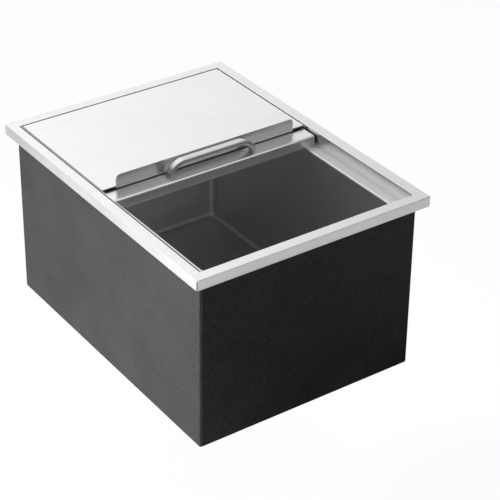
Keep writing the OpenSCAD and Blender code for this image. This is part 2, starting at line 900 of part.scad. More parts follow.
// Lengths along the route, and the point and the direction at any of them
function run_to(k) = k == 0 ? 0 : run_to(k - 1) + norm(ROUTE[k] - ROUTE[k - 1]);
RUNS = [for (k = [0:len(ROUTE) - 1]) run_to(k)];
last_k = len(ROUTE) - 1;
function heading(k) = let (
    a = ROUTE[max(k - 1, 0)],
    b = ROUTE[min(k + 1, last_k)]
) (b - a)/norm(b - a);
function stretch_at(s, k = 0) = k >= last_k - 1 || RUNS[k + 1] > s ? k : stretch_at(s, k + 1);
function share_at(s, k) = (s - RUNS[k])/(RUNS[k + 1] - RUNS[k]);
function point_at(s) = let (k = stretch_at(s), f = share_at(s, k))
    ROUTE[k] + f*(ROUTE[k + 1] - ROUTE[k]);
function heading_at(s) = let (
    k = stretch_at(s),
    f = min(share_at(s, k), 1),
    h = heading(k)*(1 - f) + heading(k + 1)*f
) h/norm(h);

// One ring of points round the middle line, r away from it
function ring(s, r) = let (
    c = point_at(s),
    h = heading_at(s),
    side = [1, 0, 0],
    up = cross(h, side)
) [for (i = [0:hose_sides - 1]) c + r*cos(i*360/hose_sides)*side + r*sin(i*360/hose_sides)*up];

// Each rib has a ring in its groove and a ring on its crest
pitch = ribbed_l/rib_n;
STATIONS = concat(
    [for (k = [0:rib_n - 1], half = [0, 1])
        [(k + half/2)*pitch, hose_d/2 - (half == 0 ? rib_depth : 0), hose_bore/2]],
    [[ribbed_l, hose_d/2 - rib_depth, hose_bore/2],
     [ribbed_l + ring_gap, plain_d/2, plain_bore/2],
     [ribbed_l + plain_l, plain_d/2, plain_bore/2]]
);

// The ribbed hose, one unbroken tube with its bore
module drain_hose() {
    n = len(STATIONS);
    m = hose_sides;
    points = concat(
        [for (q = STATIONS) each ring(q[0], q[1])],
        [for (q = STATIONS) each ring(q[0], q[2])]
    );
    inner = n*m;
    faces = concat(
        [for (k = [0:n - 2], i = [0:m - 1]) let (j = (i + 1)%m) each [
            [k*m + i, k*m + j, (k + 1)*m + j],
            [k*m + i, (k + 1)*m + j, (k + 1)*m + i],
            [inner + k*m + i, inner + (k + 1)*m + j, inner + k*m + j],
            [inner + k*m + i, inner + (k + 1)*m + i, inner + (k + 1)*m + j]
        ]],
        [for (i = [0:m - 1]) let (j = (i + 1)%m, e = (n - 1)*m) each [
            [i, inner + j, j],
            [i, inner + i, inner + j],
            [e + i, e + j, inner + e + j],
            [e + i, inner + e + j, inner + e + i]
        ]]
    );
    color(pipe_grey)
    translate([0, 0, hose_z])
        polyhedron(points, faces);
}

// The plain cuff on the hose's end, which a waste line takes
cuff_at = ribbed_l + 2*ring_gap;
module hose_cuff() {
    h = heading_at(cuff_at);
    color(pipe_grey)
    translate([0, 0, hose_z])
        translate(point_at(cuff_at))
            rotate([atan2(h[1], -h[2]), 0, 0])
                mirror([0, 0, 1])
                    difference() {
                        cylinder(d = cuff_d, h = cuff_l);
                        translate([0, 0, -past])
                            cylinder(d = plain_d + 2*thread_gap, h = cuff_l + 2*past);
                    }
}

rim_frame();
tub();
case_front();
case_back();
case_left();
case_right();
base_panel();
foam_front();
foam_back();
foam_left();
foam_right();
foam_base();
rail_left();
rail_right();
rear_cover();
sliding_cover();
handle();
handle_screws();
strainer_flange();
flange_gasket();
tub_washer();
drain_body();
clamp_bolt();
thumb_head();
wing_nut();
strainer_plate();
stopper();
stopper_seal();
lock_ring();
waste_pipe();
coupling_nut();
hose_nut();
flat_washer();
hose_neck();
drain_hose();
hose_cuff();
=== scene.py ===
# %% [markdown]
# # A drop-in ice bin
#
# The bin hangs by its steel rim in a counter. A flush cover hides the rear half of its mouth, a lower
# cover with a handle slides under it, and a drain hangs under the floor. The solids come from the CAD
# source and are never moved. This script gives each folded sheet its round edges and each surface its
# finish, so that the bin looks as it does in a product photograph.

# %% Load the solids
from math import cos, pi, radians, sin, tan, tau

import bmesh
import bpy
from mathutils import Matrix, Vector


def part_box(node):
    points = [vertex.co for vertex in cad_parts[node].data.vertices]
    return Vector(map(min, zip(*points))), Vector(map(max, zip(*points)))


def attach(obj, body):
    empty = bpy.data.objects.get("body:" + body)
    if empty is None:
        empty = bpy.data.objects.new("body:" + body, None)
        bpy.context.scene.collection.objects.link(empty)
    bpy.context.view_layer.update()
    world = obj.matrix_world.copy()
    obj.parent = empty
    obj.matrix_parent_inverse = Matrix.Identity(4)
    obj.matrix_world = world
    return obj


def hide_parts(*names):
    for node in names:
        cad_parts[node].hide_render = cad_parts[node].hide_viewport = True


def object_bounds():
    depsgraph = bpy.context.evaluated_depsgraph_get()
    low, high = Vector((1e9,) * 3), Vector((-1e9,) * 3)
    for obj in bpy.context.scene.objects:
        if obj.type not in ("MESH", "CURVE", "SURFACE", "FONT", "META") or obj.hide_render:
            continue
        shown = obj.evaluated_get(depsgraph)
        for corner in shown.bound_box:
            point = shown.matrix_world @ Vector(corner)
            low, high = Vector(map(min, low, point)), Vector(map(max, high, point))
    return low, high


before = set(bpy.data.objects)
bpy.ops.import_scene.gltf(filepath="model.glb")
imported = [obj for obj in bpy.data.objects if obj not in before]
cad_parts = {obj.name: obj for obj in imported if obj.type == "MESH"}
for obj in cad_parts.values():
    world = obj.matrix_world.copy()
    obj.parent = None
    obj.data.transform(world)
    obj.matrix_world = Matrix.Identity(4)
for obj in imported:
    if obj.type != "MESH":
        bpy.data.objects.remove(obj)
cad_low, cad_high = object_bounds()
bpy.context.scene.view_settings.view_transform = "Standard"
mm = 0.001


# %% [markdown]
# ## The camera
#
# A photograph can be matched by eye, or by solving for the camera from edges whose real length is
# known. The rim is a plain rectangle, so its corners were solved for: the camera stands to the left of
# the bin's front, three metres away, with a long lens. The lens shift keeps the bin left of the middle.

# %% Camera
def new_object(name, data):
    made = bpy.data.objects.new(name, data)
    bpy.context.scene.collection.objects.link(made)
    return made


def aimed(name, data, place, heading):
    """A camera or lamp at a place, looking along its heading."""
    made = new_object(name, data)
    made.location = place
    made.rotation_mode = "QUATERNION"
    made.rotation_quaternion = heading.to_track_quat("-Z", "Y")
    return made


def camera_behind(target, azimuth, elevation, distance):
    a, e = radians(azimuth), radians(elevation)
    back = Vector((sin(a)*cos(e), -cos(a)*cos(e), sin(e)))
    lens = bpy.data.cameras.new("product_camera")
    bpy.context.scene.camera = aimed("product_camera", lens, target + back*distance, -back)
    return lens


rim_low, rim_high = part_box("rim_frame")
azimuth, elevation, distance = -33.899, 28.918, 2.9718
lens = camera_behind(Vector((0, 0, rim_high.z)), azimuth, elevation, distance)
lens.lens, lens.sensor_width = 126.54, 36
lens.shift_x, lens.shift_y = 0.0803, -0.1819
lens.clip_start, lens.clip_end = 0.1, 60
print("camera at", [round(x, 3) for x in bpy.context.scene.camera.location])


# %% [markdown]
# ## Meshes from rings
#
# Nearly every piece here is a ring of points that is repeated: along a path it gives a hose, round a
# rectangle a folded rim, and about an axis a turned part. One helper joins rings of equal length with
# four-sided faces, and another also closes both ends. A third turns the result into a finished piece:
# normals outwards, smooth shading with sharp edges kept, and normals weighted by area so that flat
# sheets stay flat beside their bends.

# %% Rings to meshes
def join_rings(rings, closed=False, bends=None, mesh=None, gap_shade=None):
    """Faces between rings of equal length. bends says which rings lie on a bend of the sheet, and
    gap_shade(point) how deep a point lies in a gap, from 0 to 1, which the steel paints as shade."""
    mesh = mesh or bmesh.new()
    for label in ("fold", "painted_shade"):
        if not mesh.verts.layers.float.get(label):
            mesh.verts.layers.float.new(label)
    fold, painted_shade = (mesh.verts.layers.float[label] for label in ("fold", "painted_shade"))
    rows = []
    for k, ring in enumerate(rings):
        rows.append([mesh.verts.new(point) for point in ring])
        for vert in rows[-1]:
            vert[fold] = float(bool(bends and bends[k]))
            # Points deep in a gap get the mark that the steel paints as shade.
            vert[painted_shade] = float(gap_shade(vert.co)) if gap_shade else 0.0
    following = rows[1:] + rows[:1] if closed else rows[1:]
    for row, after in zip(rows, following):
        for k in range(len(row)):
            n = (k + 1) % len(row)
            mesh.faces.new((row[k], row[n], after[n], after[k]))
    return mesh, rows


def closed_stack(rings, bends=None, mesh=None):
    """Rings joined into one closed block, with a face at each end."""
    mesh, rows = join_rings(rings, bends=bends, mesh=mesh)
    for row in (rows[0], rows[-1]):
        mesh.faces.new(row)
    return mesh


def finish_piece(name, mesh, material, body, nodes=(), sheet=0, sharp=32):
    bmesh.ops.recalc_face_normals(mesh, faces=mesh.faces)
    data = bpy.data.meshes.new(name)
    mesh.to_mesh(data)
    mesh.free()
    data.materials.append(material)
    data.shade_smooth()
    data.set_sharp_from_angle(angle=radians(sharp))
    piece = new_object(name, data)
    if sheet:
        wall = piece.modifiers.new("sheet", "SOLIDIFY")
        wall.thickness, wall.offset = sheet, -1
        wall.use_even_offset = True
    piece.modifiers.new("flat_faces", "WEIGHTED_NORMAL").keep_sharp = True
    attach(piece, body)
    if nodes:
        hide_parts(*nodes)
    print(name, "has", len(data.polygons), "faces")
    return piece


# %% [markdown]
# ## The material bench
#
# Each finish is a Principled shader fed by a few patterns. Patterns that several finishes share are
# node groups, so brushed grain is written once and set to a different depth on the rim, the tub and the
# handle. All patterns read Object coordinates, which are metres here, so a noise scale of 500 makes
# grains of about two millimetres.

# %% Node helpers
def put(tree, kind, values=(), **settings):
    made = tree.nodes.new(kind)
    for key, value in settings.items():
        setattr(made, key, value)
    for key, value in dict(values).items():
        if isinstance(value, bpy.types.NodeSocket):
            tree.links.new(value, made.inputs[key])
        else:
            made.inputs[key].default_value = value
    return made


def get(tree, kind, values=(), **settings):
    """The first output of a new node."""
    return put(tree, kind, values, **settings).outputs[0]


def times(tree, a, b):
    return get(tree, "ShaderNodeMath", {0: a, 1: b}, operation="MULTIPLY")


def scaled(tree, value, factor, offset):
    """value*factor + offset"""
    return get(tree, "ShaderNodeMath", {0: value, 1: factor, 2: offset}, operation="MULTIPLY_ADD")


def smooth_ramp(tree, value, start, end, low, high):
    """Goes softly from low to high while the value goes from start to end."""
    return get(tree, "ShaderNodeMapRange", {0: value, 1: start, 2: end, 3: low, 4: high},
               interpolation_type="SMOOTHSTEP")


def blend_colours(tree, factor, first, second):
    first, second = (c if isinstance(c, bpy.types.NodeSocket) else (*c, 1) for c in (first, second))
    return put(tree, "ShaderNodeMix", {0: factor, 6: first, 7: second}, data_type="RGBA").outputs[2]


def add_inputs(tree, inputs):
    for label, kind, value in inputs:
        tree.interface.new_socket(label, in_out="INPUT", socket_type=kind).default_value = value


def pattern_group(name, inputs, outputs):
    """A pattern that several finishes share. Its first input is the place."""
    tree = bpy.data.node_groups.new(name, "ShaderNodeTree")
    add_inputs(tree, [("Where", VECTOR, (0, 0, 0)), *inputs])
    for label in outputs:
        tree.interface.new_socket(label, in_out="OUTPUT", socket_type="NodeSocketFloat")
    return tree, tree.nodes.new("NodeGroupInput").outputs, tree.nodes.new("NodeGroupOutput").inputs


def end_pattern(tree, result, **values):
    """Lead each value to the group's output of that name."""
    for label, value in values.items():
        tree.links.new(value, result[label])
    print("pattern", tree.name, "has", len(tree.nodes), "nodes")


def sized_noise(tree, given, **values):
    """Noise whose grains are about as wide as the group's Size, in metres."""
    per_metre = get(tree, "ShaderNodeMath", {0: 1.0, 1: given["Size"]}, operation="DIVIDE")
    return get(tree, "ShaderNodeTexNoise", {"Vector": given["Where"], "Scale": per_metre, **values})


FLOAT, VECTOR = "NodeSocketFloat", "NodeSocketVector"

# %% [markdown]
# Brushed steel carries fine parallel scratches. A noise that is stretched a hundred times along the
# brushing gives them. Two widths of it are mixed: hair lines, and the broader faint streaks that show
# from a distance.

# %% Brushed grain
grain_tree, given, result = pattern_group(
    "brushed_grain", [("Stretch", VECTOR, (1, 1, 1)), ("Streaks", FLOAT, 0.5)], ["Height", "Shade"])
stretched = get(grain_tree, "ShaderNodeVectorMath",
                {0: given["Where"], 1: given["Stretch"]}, operation="MULTIPLY")
hair = get(grain_tree, "ShaderNodeTexNoise",
           {"Vector": stretched, "Scale": 3.0, "Detail": 3.0, "Roughness": 0.7})
broad = get(grain_tree, "ShaderNodeTexNoise",
            {"Vector": stretched, "Scale": 0.35, "Detail": 2.0, "Roughness": 0.5})
both = get(grain_tree, "ShaderNodeMix", {0: given["Streaks"], 2: hair, 3: broad})
end_pattern(grain_tree, result, Height=hair, Shade=both)

# %% [markdown]
# Handled sheet metal is never evenly shiny: wiping and fingers leave soft clouds. A second group gives
# such clouds, and a third is the fine mottle of a coat's grain.

# %% Clouds and specks
cloud_tree, given, result = pattern_group("wiping_clouds", [("Size", FLOAT, 0.1)], ["Cloud"])
cloud = sized_noise(cloud_tree, given, Detail=3.0, Roughness=0.55, Distortion=0.4)
spread = get(cloud_tree, "ShaderNodeMapRange", {0: cloud, 1: 0.3, 2: 0.7})
end_pattern(cloud_tree, result, Cloud=spread)

speck_tree, given, result = pattern_group("speckle", [("Size", FLOAT, 0.002)], ["Speck", "Height"])
fine = sized_noise(speck_tree, given, Detail=2.0, Roughness=0.65)
speck = get(speck_tree, "ShaderNodeMapRange", {0: fine, 1: 0.35, 2: 0.7})
end_pattern(speck_tree, result, Speck=speck, Height=fine)

# %% [markdown]
# Bends and edges are touched most. The pieces carry an attribute called fold, which is 1 on a bend or
# an eased edge. The wear group breaks it up with noise, so that an edge is worn in stretches.

# %% Edge wear
wear_tree, given, result = pattern_group(
    "edge_wear", [("Fold", FLOAT, 0.0), ("Size", FLOAT, 0.02)], ["Worn"])
patches = sized_noise(wear_tree, given, Detail=4.0, Roughness=0.7)
picked = get(wear_tree, "ShaderNodeMapRange", {0: patches, 1: 0.35, 2: 0.65, 3: 0.25, 4: 1.0})
end_pattern(wear_tree, result, Worn=times(wear_tree, given["Fold"], picked))

# %% [markdown]
# Every finish starts alike: a material with its own pattern, clouds and wear, all fed with Object
# coordinates. The wear group also reads the mesh's fold mark.


# %% The start of a finish
def mesh_mark(tree, name):
    return put(tree, "ShaderNodeAttribute", {}, attribute_name=name).outputs["Fac"]


def new_finish(name, pattern, cloud_size):
    material = bpy.data.materials.new(name)
    material.use_nodes = True
    tree = material.node_tree
    coords = put(tree, "ShaderNodeTexCoord").outputs
    where = coords["Object"]
    own = put(tree, "ShaderNodeGroup", {"Where": where}, node_tree=pattern)
    clouds = put(tree, "ShaderNodeGroup", {"Where": where, "Size": cloud_size}, node_tree=cloud_tree)
    wear = put(tree, "ShaderNodeGroup", {"Where": where, "Fold": mesh_mark(tree, "fold")}, node_tree=wear_tree)
    print("finish", name)
    return material, coords, own, clouds.outputs["Cloud"], wear.outputs["Worn"]


# %% [markdown]
# ## Steel
#
# The rim and covers are near white, because brushed steel mirrors whatever is pale round it. Grain
# moves the roughness and the bump, and clouds move the roughness a little. The mesh attribute fold marks
# the bends, which are polished by handling. painted_shade marks edges deep in a gap, which get painted shade:
# dark and duller.

# %% Steel finishes
def grey(level):
    return level, level, level


# The near-black colour is painted shade for edges deep in a gap.
GRAIN_DEPTH, PAINTED_SHADE_COLOUR = 0.0004, grey(0.03)


def steel(name, dark, light, stretch, rough, grain=0.05, streaks=0.5, cloud_size=0.12, polish=0.08,
          side_stretch=None):
    """Brushed steel. side_stretch is the grain of the faces that look sideways, along X."""
    material, coords, lines, cloud, worn = new_finish(name, grain_tree, cloud_size)
    tree = material.node_tree
    lines.inputs["Stretch"].default_value = stretch
    lines.inputs["Streaks"].default_value = streaks
    if side_stretch:
        facing = put(tree, "ShaderNodeSeparateXYZ", {0: coords["Normal"]}).outputs["X"]
        squared = times(tree, facing, facing)
        sideways = get(tree, "ShaderNodeMath", {0: squared, 1: 0.5}, operation="GREATER_THAN")
        chosen = put(tree, "ShaderNodeMix", {0: sideways, 4: stretch, 5: side_stretch},
                     data_type="VECTOR")
        tree.links.new(chosen.outputs[1], lines.inputs["Stretch"])
    toned = get(tree, "ShaderNodeClamp", {0: scaled(tree, lines.outputs["Shade"], 1.6, -0.3)})
    bright = blend_colours(tree, toned, dark, light)
    brushed = scaled(tree, lines.outputs["Height"], 0.10, rough - 0.05)
    wiped = scaled(tree, cloud, 0.05, brushed)
    folded = scaled(tree, worn, -polish, wiped)
    scratches = get(tree, "ShaderNodeBump",
                    {"Strength": grain, "Distance": GRAIN_DEPTH, "Height": lines.outputs["Height"]})
    # Painted shade: edges deep in a gap are painted near-black and made duller.
    painted_shade = mesh_mark(tree, "painted_shade")
    shader = tree.nodes["Principled BSDF"]
    tree.links.new(blend_colours(tree, painted_shade, bright, PAINTED_SHADE_COLOUR), shader.inputs["Base Color"])
    tree.links.new(scaled(tree, painted_shade, 0.3, folded), shader.inputs["Roughness"])
    tree.links.new(scratches, shader.inputs["Normal"])
    shader.inputs["Metallic"].default_value = 1.0
    return material


ACROSS, ALONG, ANY = 500.0, 4.0, 60.0
rim_finish = steel("rim_brushed", grey(0.83), grey(0.94), (ALONG*4, ACROSS, ACROSS), 0.30,
                   polish=0.02, side_stretch=(ACROSS, ALONG*3, ACROSS))
cover_finish = steel("cover_brushed", grey(0.84), grey(0.95), (ALONG, ACROSS, ACROSS), 0.28,
                     polish=0.02)
tub_finish = steel("tub_satin", (0.80, 0.80, 0.805), (0.92, 0.92, 0.925), (ACROSS, ACROSS, ALONG), 0.46,
                   polish=0.03)
handle_finish = steel("handle_satin", grey(0.70), (0.84, 0.84, 0.83), (ALONG*5, ACROSS, ANY), 0.38)
drain_steel = steel("strainer_polished", (0.74, 0.72, 0.74), (0.90, 0.88, 0.90), (ANY, ANY, ANY), 0.24,
                    grain=0.02, cloud_size=0.03)


# %% [markdown]
# ## Coats, plastics and rubber
#
# Powder coat is a thin plastic skin with a fine orange peel. Moulded plastic is smoother, and rubber
# duller. The same recipe makes them all: two close colours that a speckle mixes, a roughness that
# clouds vary, and a bump of the speckle's height.

# %% Coated and moulded finishes
PEEL_DEPTH = 0.0006


def skin(name, dark, light, rough, speck_size=0.002, bump=0.1, gloss=0.5, cloud_size=0.08, cloudy=0.10):
    """A coat or a plastic. Its edges wear to a paler colour."""
    material, _, specks, cloud, worn = new_finish(name, speck_tree, cloud_size)
    tree = material.node_tree
    specks.inputs["Size"].default_value = speck_size
    plain = blend_colours(tree, scaled(tree, cloud, 0.3, specks.outputs["Speck"]), dark, light)
    rubbed_colour = tuple(min(c*1.5 + 0.02, 1) for c in light)
    wiped = scaled(tree, cloud, cloudy, rough - cloudy/2)
    peel = get(tree, "ShaderNodeBump",
               {"Strength": bump, "Distance": PEEL_DEPTH, "Height": specks.outputs["Height"]})
    shader = tree.nodes["Principled BSDF"]
    tree.links.new(blend_colours(tree, worn, plain, rubbed_colour), shader.inputs["Base Color"])
    tree.links.new(scaled(tree, worn, -0.1, wiped), shader.inputs["Roughness"])
    tree.links.new(peel, shader.inputs["Normal"])
    shader.inputs["Specular IOR Level"].default_value = gloss
    return material


case_finish = skin("case_powder_coat", grey(0.010), grey(0.040), 0.46, 0.0026, 0.26,
                   gloss=0.18, cloudy=0.06)
foam_finish = skin("foam_cells", (0.70, 0.68, 0.60), (0.90, 0.88, 0.80), 0.9, 0.004, 0.4, 0.2)
drain_plastic = skin("drain_plastic", (0.10, 0.09, 0.12), (0.15, 0.14, 0.17), 0.42, 0.003, 0.03)
pipe_plastic = skin("pipe_plastic", (0.22, 0.22, 0.27), (0.30, 0.30, 0.36), 0.40, 0.003, 0.03)
hose_plastic = skin("hose_plastic", (0.25, 0.24, 0.29), (0.34, 0.33, 0.38), 0.42, 0.003, 0.03)
black_plastic = skin("black_plastic", (0.010, 0.010, 0.012), (0.03, 0.03, 0.035), 0.38, 0.003, 0.03)
white_plastic = skin("washer_plastic", (0.78, 0.78, 0.86), (0.90, 0.90, 0.95), 0.35, 0.004, 0.03)
rubber_finish = skin("gasket_rubber", (0.012, 0.012, 0.018), (0.035, 0.035, 0.045), 0.62, 0.002, 0.10, 0.35)


def dress(material, *names):
    for name in names:
        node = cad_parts[name]
        node.data.materials.clear()
        node.data.materials.append(material)


dress(foam_finish, "foam_front", "foam_back", "foam_left", "foam_right", "foam_base")
dress(handle_finish, "clamp_bolt")
dress(rubber_finish, "flange_gasket", "stopper_seal", "flat_washer")
dress(white_plastic, "tub_washer")
dress(pipe_plastic, "hose_cuff")

# %% [markdown]
# ## The drain hose
#
# The drain ends in a short ribbed hose with a plain cuff. It leaves its neck straight down and swings
# to the back as it hangs. The route is the CAD source's own, and a smooth curve through its points
# gives the centres of the rings. The tube is one closed wall: outside down, inside back up.

# %% The hose's route
neck_low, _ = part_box("hose_neck")
barb_l = 12*mm
hose_top = Vector((0, 0, neck_low.z + barb_l))
ROUTE = [Vector((0, y, z))*mm + hose_top for y, z in (
    (0, 0), (0, -8), (0, -16), (0, -24), (0.5, -32), (1, -40), (2.5, -48), (5, -55.5), (7.5, -63),
    (10.5, -70.5), (14.5, -77.5), (19, -84), (23.5, -90.5), (28.5, -96.5), (33.5, -102.5),
    (38.5, -108.5), (43.5, -114.5), (48.5, -120.5), (53.5, -126.5))]


def smooth_route(points, steps=6):
    """Points on the curve through all the given ones (Catmull-Rom), with its direction at each."""
    padded = [2*points[0] - points[1], *points, 2*points[-1] - points[-2]]
    made = []
    for a, b, c, d in zip(padded, padded[1:], padded[2:], padded[3:]):
        for k in range(steps):
            t = k/steps
            made.append(0.5*(2*b + (c - a)*t + (2*a - 5*b + 4*c - d)*t*t + (3*b - a - 3*c + d)*t**3))
    return made + [points[-1]]


def lengths_along(points):
    run = [0.0]
    for a, b in zip(points, points[1:]):
        run.append(run[-1] + (b - a).length)
    return run


def point_along(points, run, s):
    k = max(i for i in range(len(run) - 1) if run[i] <= s + 1e-9)
    share = (s - run[k])/(run[k + 1] - run[k])
    return points[k].lerp(points[k + 1], share), (points[k + 1] - points[k]).normalized()


line = smooth_route(ROUTE)
run = lengths_along(line)
print("route length", round(run[-1]/mm, 1), "mm")

# %% [markdown]
# Whatever repeats at one pitch is made by Geometry Nodes: it is drawn once and set on points. Three
# helpers start such a tree, end it, and read its result back as a plain mesh, which any export carries.


# %% Geometry Nodes helpers
def shape_tree(name, inputs):
    """A tree with a geometry in and out, the given inputs, and a material for what it draws."""
    tree = bpy.data.node_groups.new(name, "GeometryNodeTree")
    tree.interface.new_socket("Geometry", in_out="INPUT", socket_type="NodeSocketGeometry")
    add_inputs(tree, inputs)
    tree.interface.new_socket("Material", in_out="INPUT", socket_type="NodeSocketMaterial")
    tree.interface.new_socket("Geometry", in_out="OUTPUT", socket_type="NodeSocketGeometry")
    return tree, tree.nodes.new("NodeGroupInput").outputs


def end_tree(tree, geometry, given):
    real = get(tree, "GeometryNodeRealizeInstances", {"Geometry": geometry})
    painted = get(tree, "GeometryNodeSetMaterial", {"Geometry": real, "Material": given["Material"]})
    put(tree, "NodeGroupOutput", {"Geometry": painted})
    print("tree", tree.name, "has", len(tree.nodes), "nodes")


def grown_mesh(base_mesh, tree, **values):
    """The plain mesh that a tree makes of a base mesh, with its inputs set by their identifiers."""
    holder = new_object(tree.name + "_base", base_mesh)
    modifier = holder.modifiers.new(tree.name, "NODES")
    modifier.node_group = tree
    for item in tree.interface.items_tree:
        if item.in_out == "INPUT" and item.name.replace(" ", "_") in values:
            modifier[item.identifier] = values[item.name.replace(" ", "_")]
    graph = bpy.context.evaluated_depsgraph_get()
    made = bpy.data.meshes.new_from_object(holder.evaluated_get(graph), depsgraph=graph)
    holder.modifiers.remove(modifier)
    bpy.data.objects.remove(holder)
    return made


INT = "NodeSocketInt"

# %% [markdown]
# The hose's ribs stand at one pitch. A ring is drawn once, set on evenly spaced points of the route and
# turned to the route's direction. The tree has named inputs for its sizes.

# %% Rib tree
rib_tree, given = shape_tree("hose_ribs", [
    ("Ribs", INT, 26), ("Hose radius", FLOAT, 0.01175), ("Rib radius", FLOAT, 0.0015)])
route_curve = get(rib_tree, "GeometryNodeMeshToCurve", {"Mesh": given["Geometry"]})
stations = get(rib_tree, "GeometryNodeResampleCurve",
               {"Curve": route_curve, "Count": given["Ribs"]})
middle = get(rib_tree, "ShaderNodeMath",
             {0: given["Hose radius"], 1: given["Rib radius"]}, operation="SUBTRACT")
loop = get(rib_tree, "GeometryNodeCurvePrimitiveCircle", {"Resolution": 40, "Radius": middle})
section = get(rib_tree, "GeometryNodeCurvePrimitiveCircle",
              {"Resolution": 10, "Radius": given["Rib radius"]})
rib = get(rib_tree, "GeometryNodeCurveToMesh",
          {"Curve": loop, "Profile Curve": section})
turn = get(rib_tree, "FunctionNodeAlignRotationToVector",
           {"Vector": rib_tree.nodes.new("GeometryNodeInputTangent").outputs[0]}, axis="Z")
ribs = get(rib_tree, "GeometryNodeInstanceOnPoints",
           {"Points": stations, "Instance": rib, "Rotation": turn})
end_tree(rib_tree, ribs, given)

# %% [markdown]
# Between its ribs the hose is a plain tube. A curve with a depth would sweep one too, but rings also give
# it a bore and the thinner plain end that the cuff sits on.

# %% Build the hose
hose_r, bore_r, groove = 11.75*mm, 8.5*mm, 1.2*mm
plain_r, plain_bore_r = 8*mm, 6.25*mm
ribbed_l, plain_l, rib_n = 121*mm, 21*mm, 26
hose_l, step_l = ribbed_l + plain_l, 0.5*mm


def angles_round(steps):
    return [tau*k/steps for k in range(steps)]


def ring_across(centre, heading, radius):
    side = Vector((1, 0, 0))
    up = heading.cross(side)
    return [centre + radius*(cos(a)*side + sin(a)*up) for a in angles_round(40)]


stops = [ribbed_l*k/60 for k in range(61)] + [ribbed_l + step_l + (plain_l - step_l)*k/4 for k in range(5)]
outside, inside = [], []
for s in stops:
    centre, heading = point_along(line, run, s)
    ribbed = s <= ribbed_l
    outside.append(ring_across(centre, heading, hose_r - groove if ribbed else plain_r))
    inside.append(ring_across(centre, heading, bore_r if ribbed else plain_bore_r))
hose_mesh, _ = join_rings(outside + inside[::-1], closed=True)

pitch = ribbed_l/rib_n
rib_line = bpy.data.meshes.new("rib_line")
rib_points = [point_along(line, run, pitch/2 + (ribbed_l - pitch)*k/120)[0] for k in range(121)]
rib_line.from_pydata(rib_points, [(k, k + 1) for k in range(120)], [])
rib_mesh = grown_mesh(rib_line, rib_tree, Ribs=rib_n, Hose_radius=hose_r, Rib_radius=1.45*mm,
                      Material=hose_plastic)
hose_mesh.from_mesh(rib_mesh)
hose = finish_piece("ribbed_hose", hose_mesh, hose_plastic, "bin",
                    ["drain_hose"], sharp=60)

# %% [markdown]
# ## Light and background
#
# Steel looks like what it mirrors, so the room matters more than the lamps. A product studio is white
# behind and beside the object and darker behind the camera. The world is such a room: a pale dome that
# darkens towards the front, the left and overhead. The rim's top mirrors the dome's edge, so it darkens
# towards the camera, and the recess, which looks to the left, is greyer than the rim.

# %% World
WHITE = (1, 1, 1, 1)
world = bpy.data.worlds.new("studio")
bpy.context.scene.world = world
world.use_nodes = True
room = world.node_tree
room.nodes.clear()
direction = put(room, "ShaderNodeTexCoord").outputs["Generated"]
to_the_back = (-0.174, 0.985, 0.0)
backward = put(room, "ShaderNodeVectorMath", {0: direction, 1: to_the_back}, operation="DOT_PRODUCT")
heading = put(room, "ShaderNodeSeparateXYZ", {0: direction}).outputs
front_fall = smooth_ramp(room, backward.outputs["Value"], 0.28, 0.66, low=0.12, high=1.08)
left_fall = smooth_ramp(room, heading["X"], -0.55, 0.15, low=0.50, high=1.0)
top_fall = smooth_ramp(room, heading["Z"], 0.50, 0.74, low=1.0, high=0.35)
dome = times(room, times(room, front_fall, left_fall), top_fall)
lit = get(room, "ShaderNodeBackground", {"Color": WHITE, "Strength": dome})
white = get(room, "ShaderNodeBackground", {"Color": WHITE, "Strength": 1.0})
seen = put(room, "ShaderNodeLightPath").outputs["Is Camera Ray"]
either = get(room, "ShaderNodeMixShader", {0: seen, 1: lit, 2: white})
put(room, "ShaderNodeOutputWorld", {"Surface": either})
print("world shader has", len(room.nodes), "nodes")

# %% [markdown]
# Three soft boxes do the rest. A low one stands to the left, because the photograph's left panel is lit
# and its front panel is nearly black. It stays below the rim, so that it doesn't glare in the handle. A
# wide one hangs over the mouth and lights the tub. A weak one in front draws a line along the folds.


# %% Soft lamps
def soft_lamp(name, place, target, wide, high, watts):
    lamp = bpy.data.lights.new(name, "AREA")
    lamp.shape, lamp.size, lamp.size_y, lamp.energy = "RECTANGLE", wide, high, watts
    aimed(name, lamp, place, Vector(target) - Vector(place))
    print("lamp", name, watts, "W")


soft_lamp("left_box", (-2.2, 0.15, -0.25), (0, 0.05, -0.25), 2.2, 0.45, 106)
soft_lamp("top_box", (-0.2, 0.5, 2.6), (0, 0, 0), 4.2, 4.2, 46)
soft_lamp("fold_box", (1.25, -1.25, 1.9), (0, 0, 0), 1.1, 1.1, 4)

# %% [markdown]
# The floor is white to the camera. To the steel and the coat it is a sheet of paper that is brightest
# before the bin and greyer to the back and the far right, with a dark card in front of the front panel.
# Photographers lay such a card to keep a front panel black.

# %% Floor
floor_material = bpy.data.materials.new("studio_floor")
floor_material.use_nodes = True
tree = floor_material.node_tree
paper = tree.nodes["Principled BSDF"]
place = put(tree, "ShaderNodeTexCoord").outputs["Object"]
spot = put(tree, "ShaderNodeSeparateXYZ", {0: place}).outputs
back_tone = smooth_ramp(tree, spot["Y"], 0.25, 1.20, low=1.0, high=0.57)
middle_tone = smooth_ramp(tree, spot["X"], -0.60, 0.30, low=0.69, high=0.84)
right_tone = smooth_ramp(tree, spot["X"], 0.40, 0.85, low=1.0, high=0.62)
sheet_tone = times(tree, back_tone, times(tree, middle_tone, right_tone))
card_place = (0.30, -0.60, cad_low.z)
from_card = put(tree, "ShaderNodeVectorMath", {0: place, 1: card_place}, operation="DISTANCE")
card_tone = smooth_ramp(tree, from_card.outputs["Value"], 0.24, 0.44, low=0.06, high=1.12)
tone = times(tree, sheet_tone, card_tone)
paper_share, lens_level = 0.55, 1.12
paper_tone = times(tree, tone, paper_share)
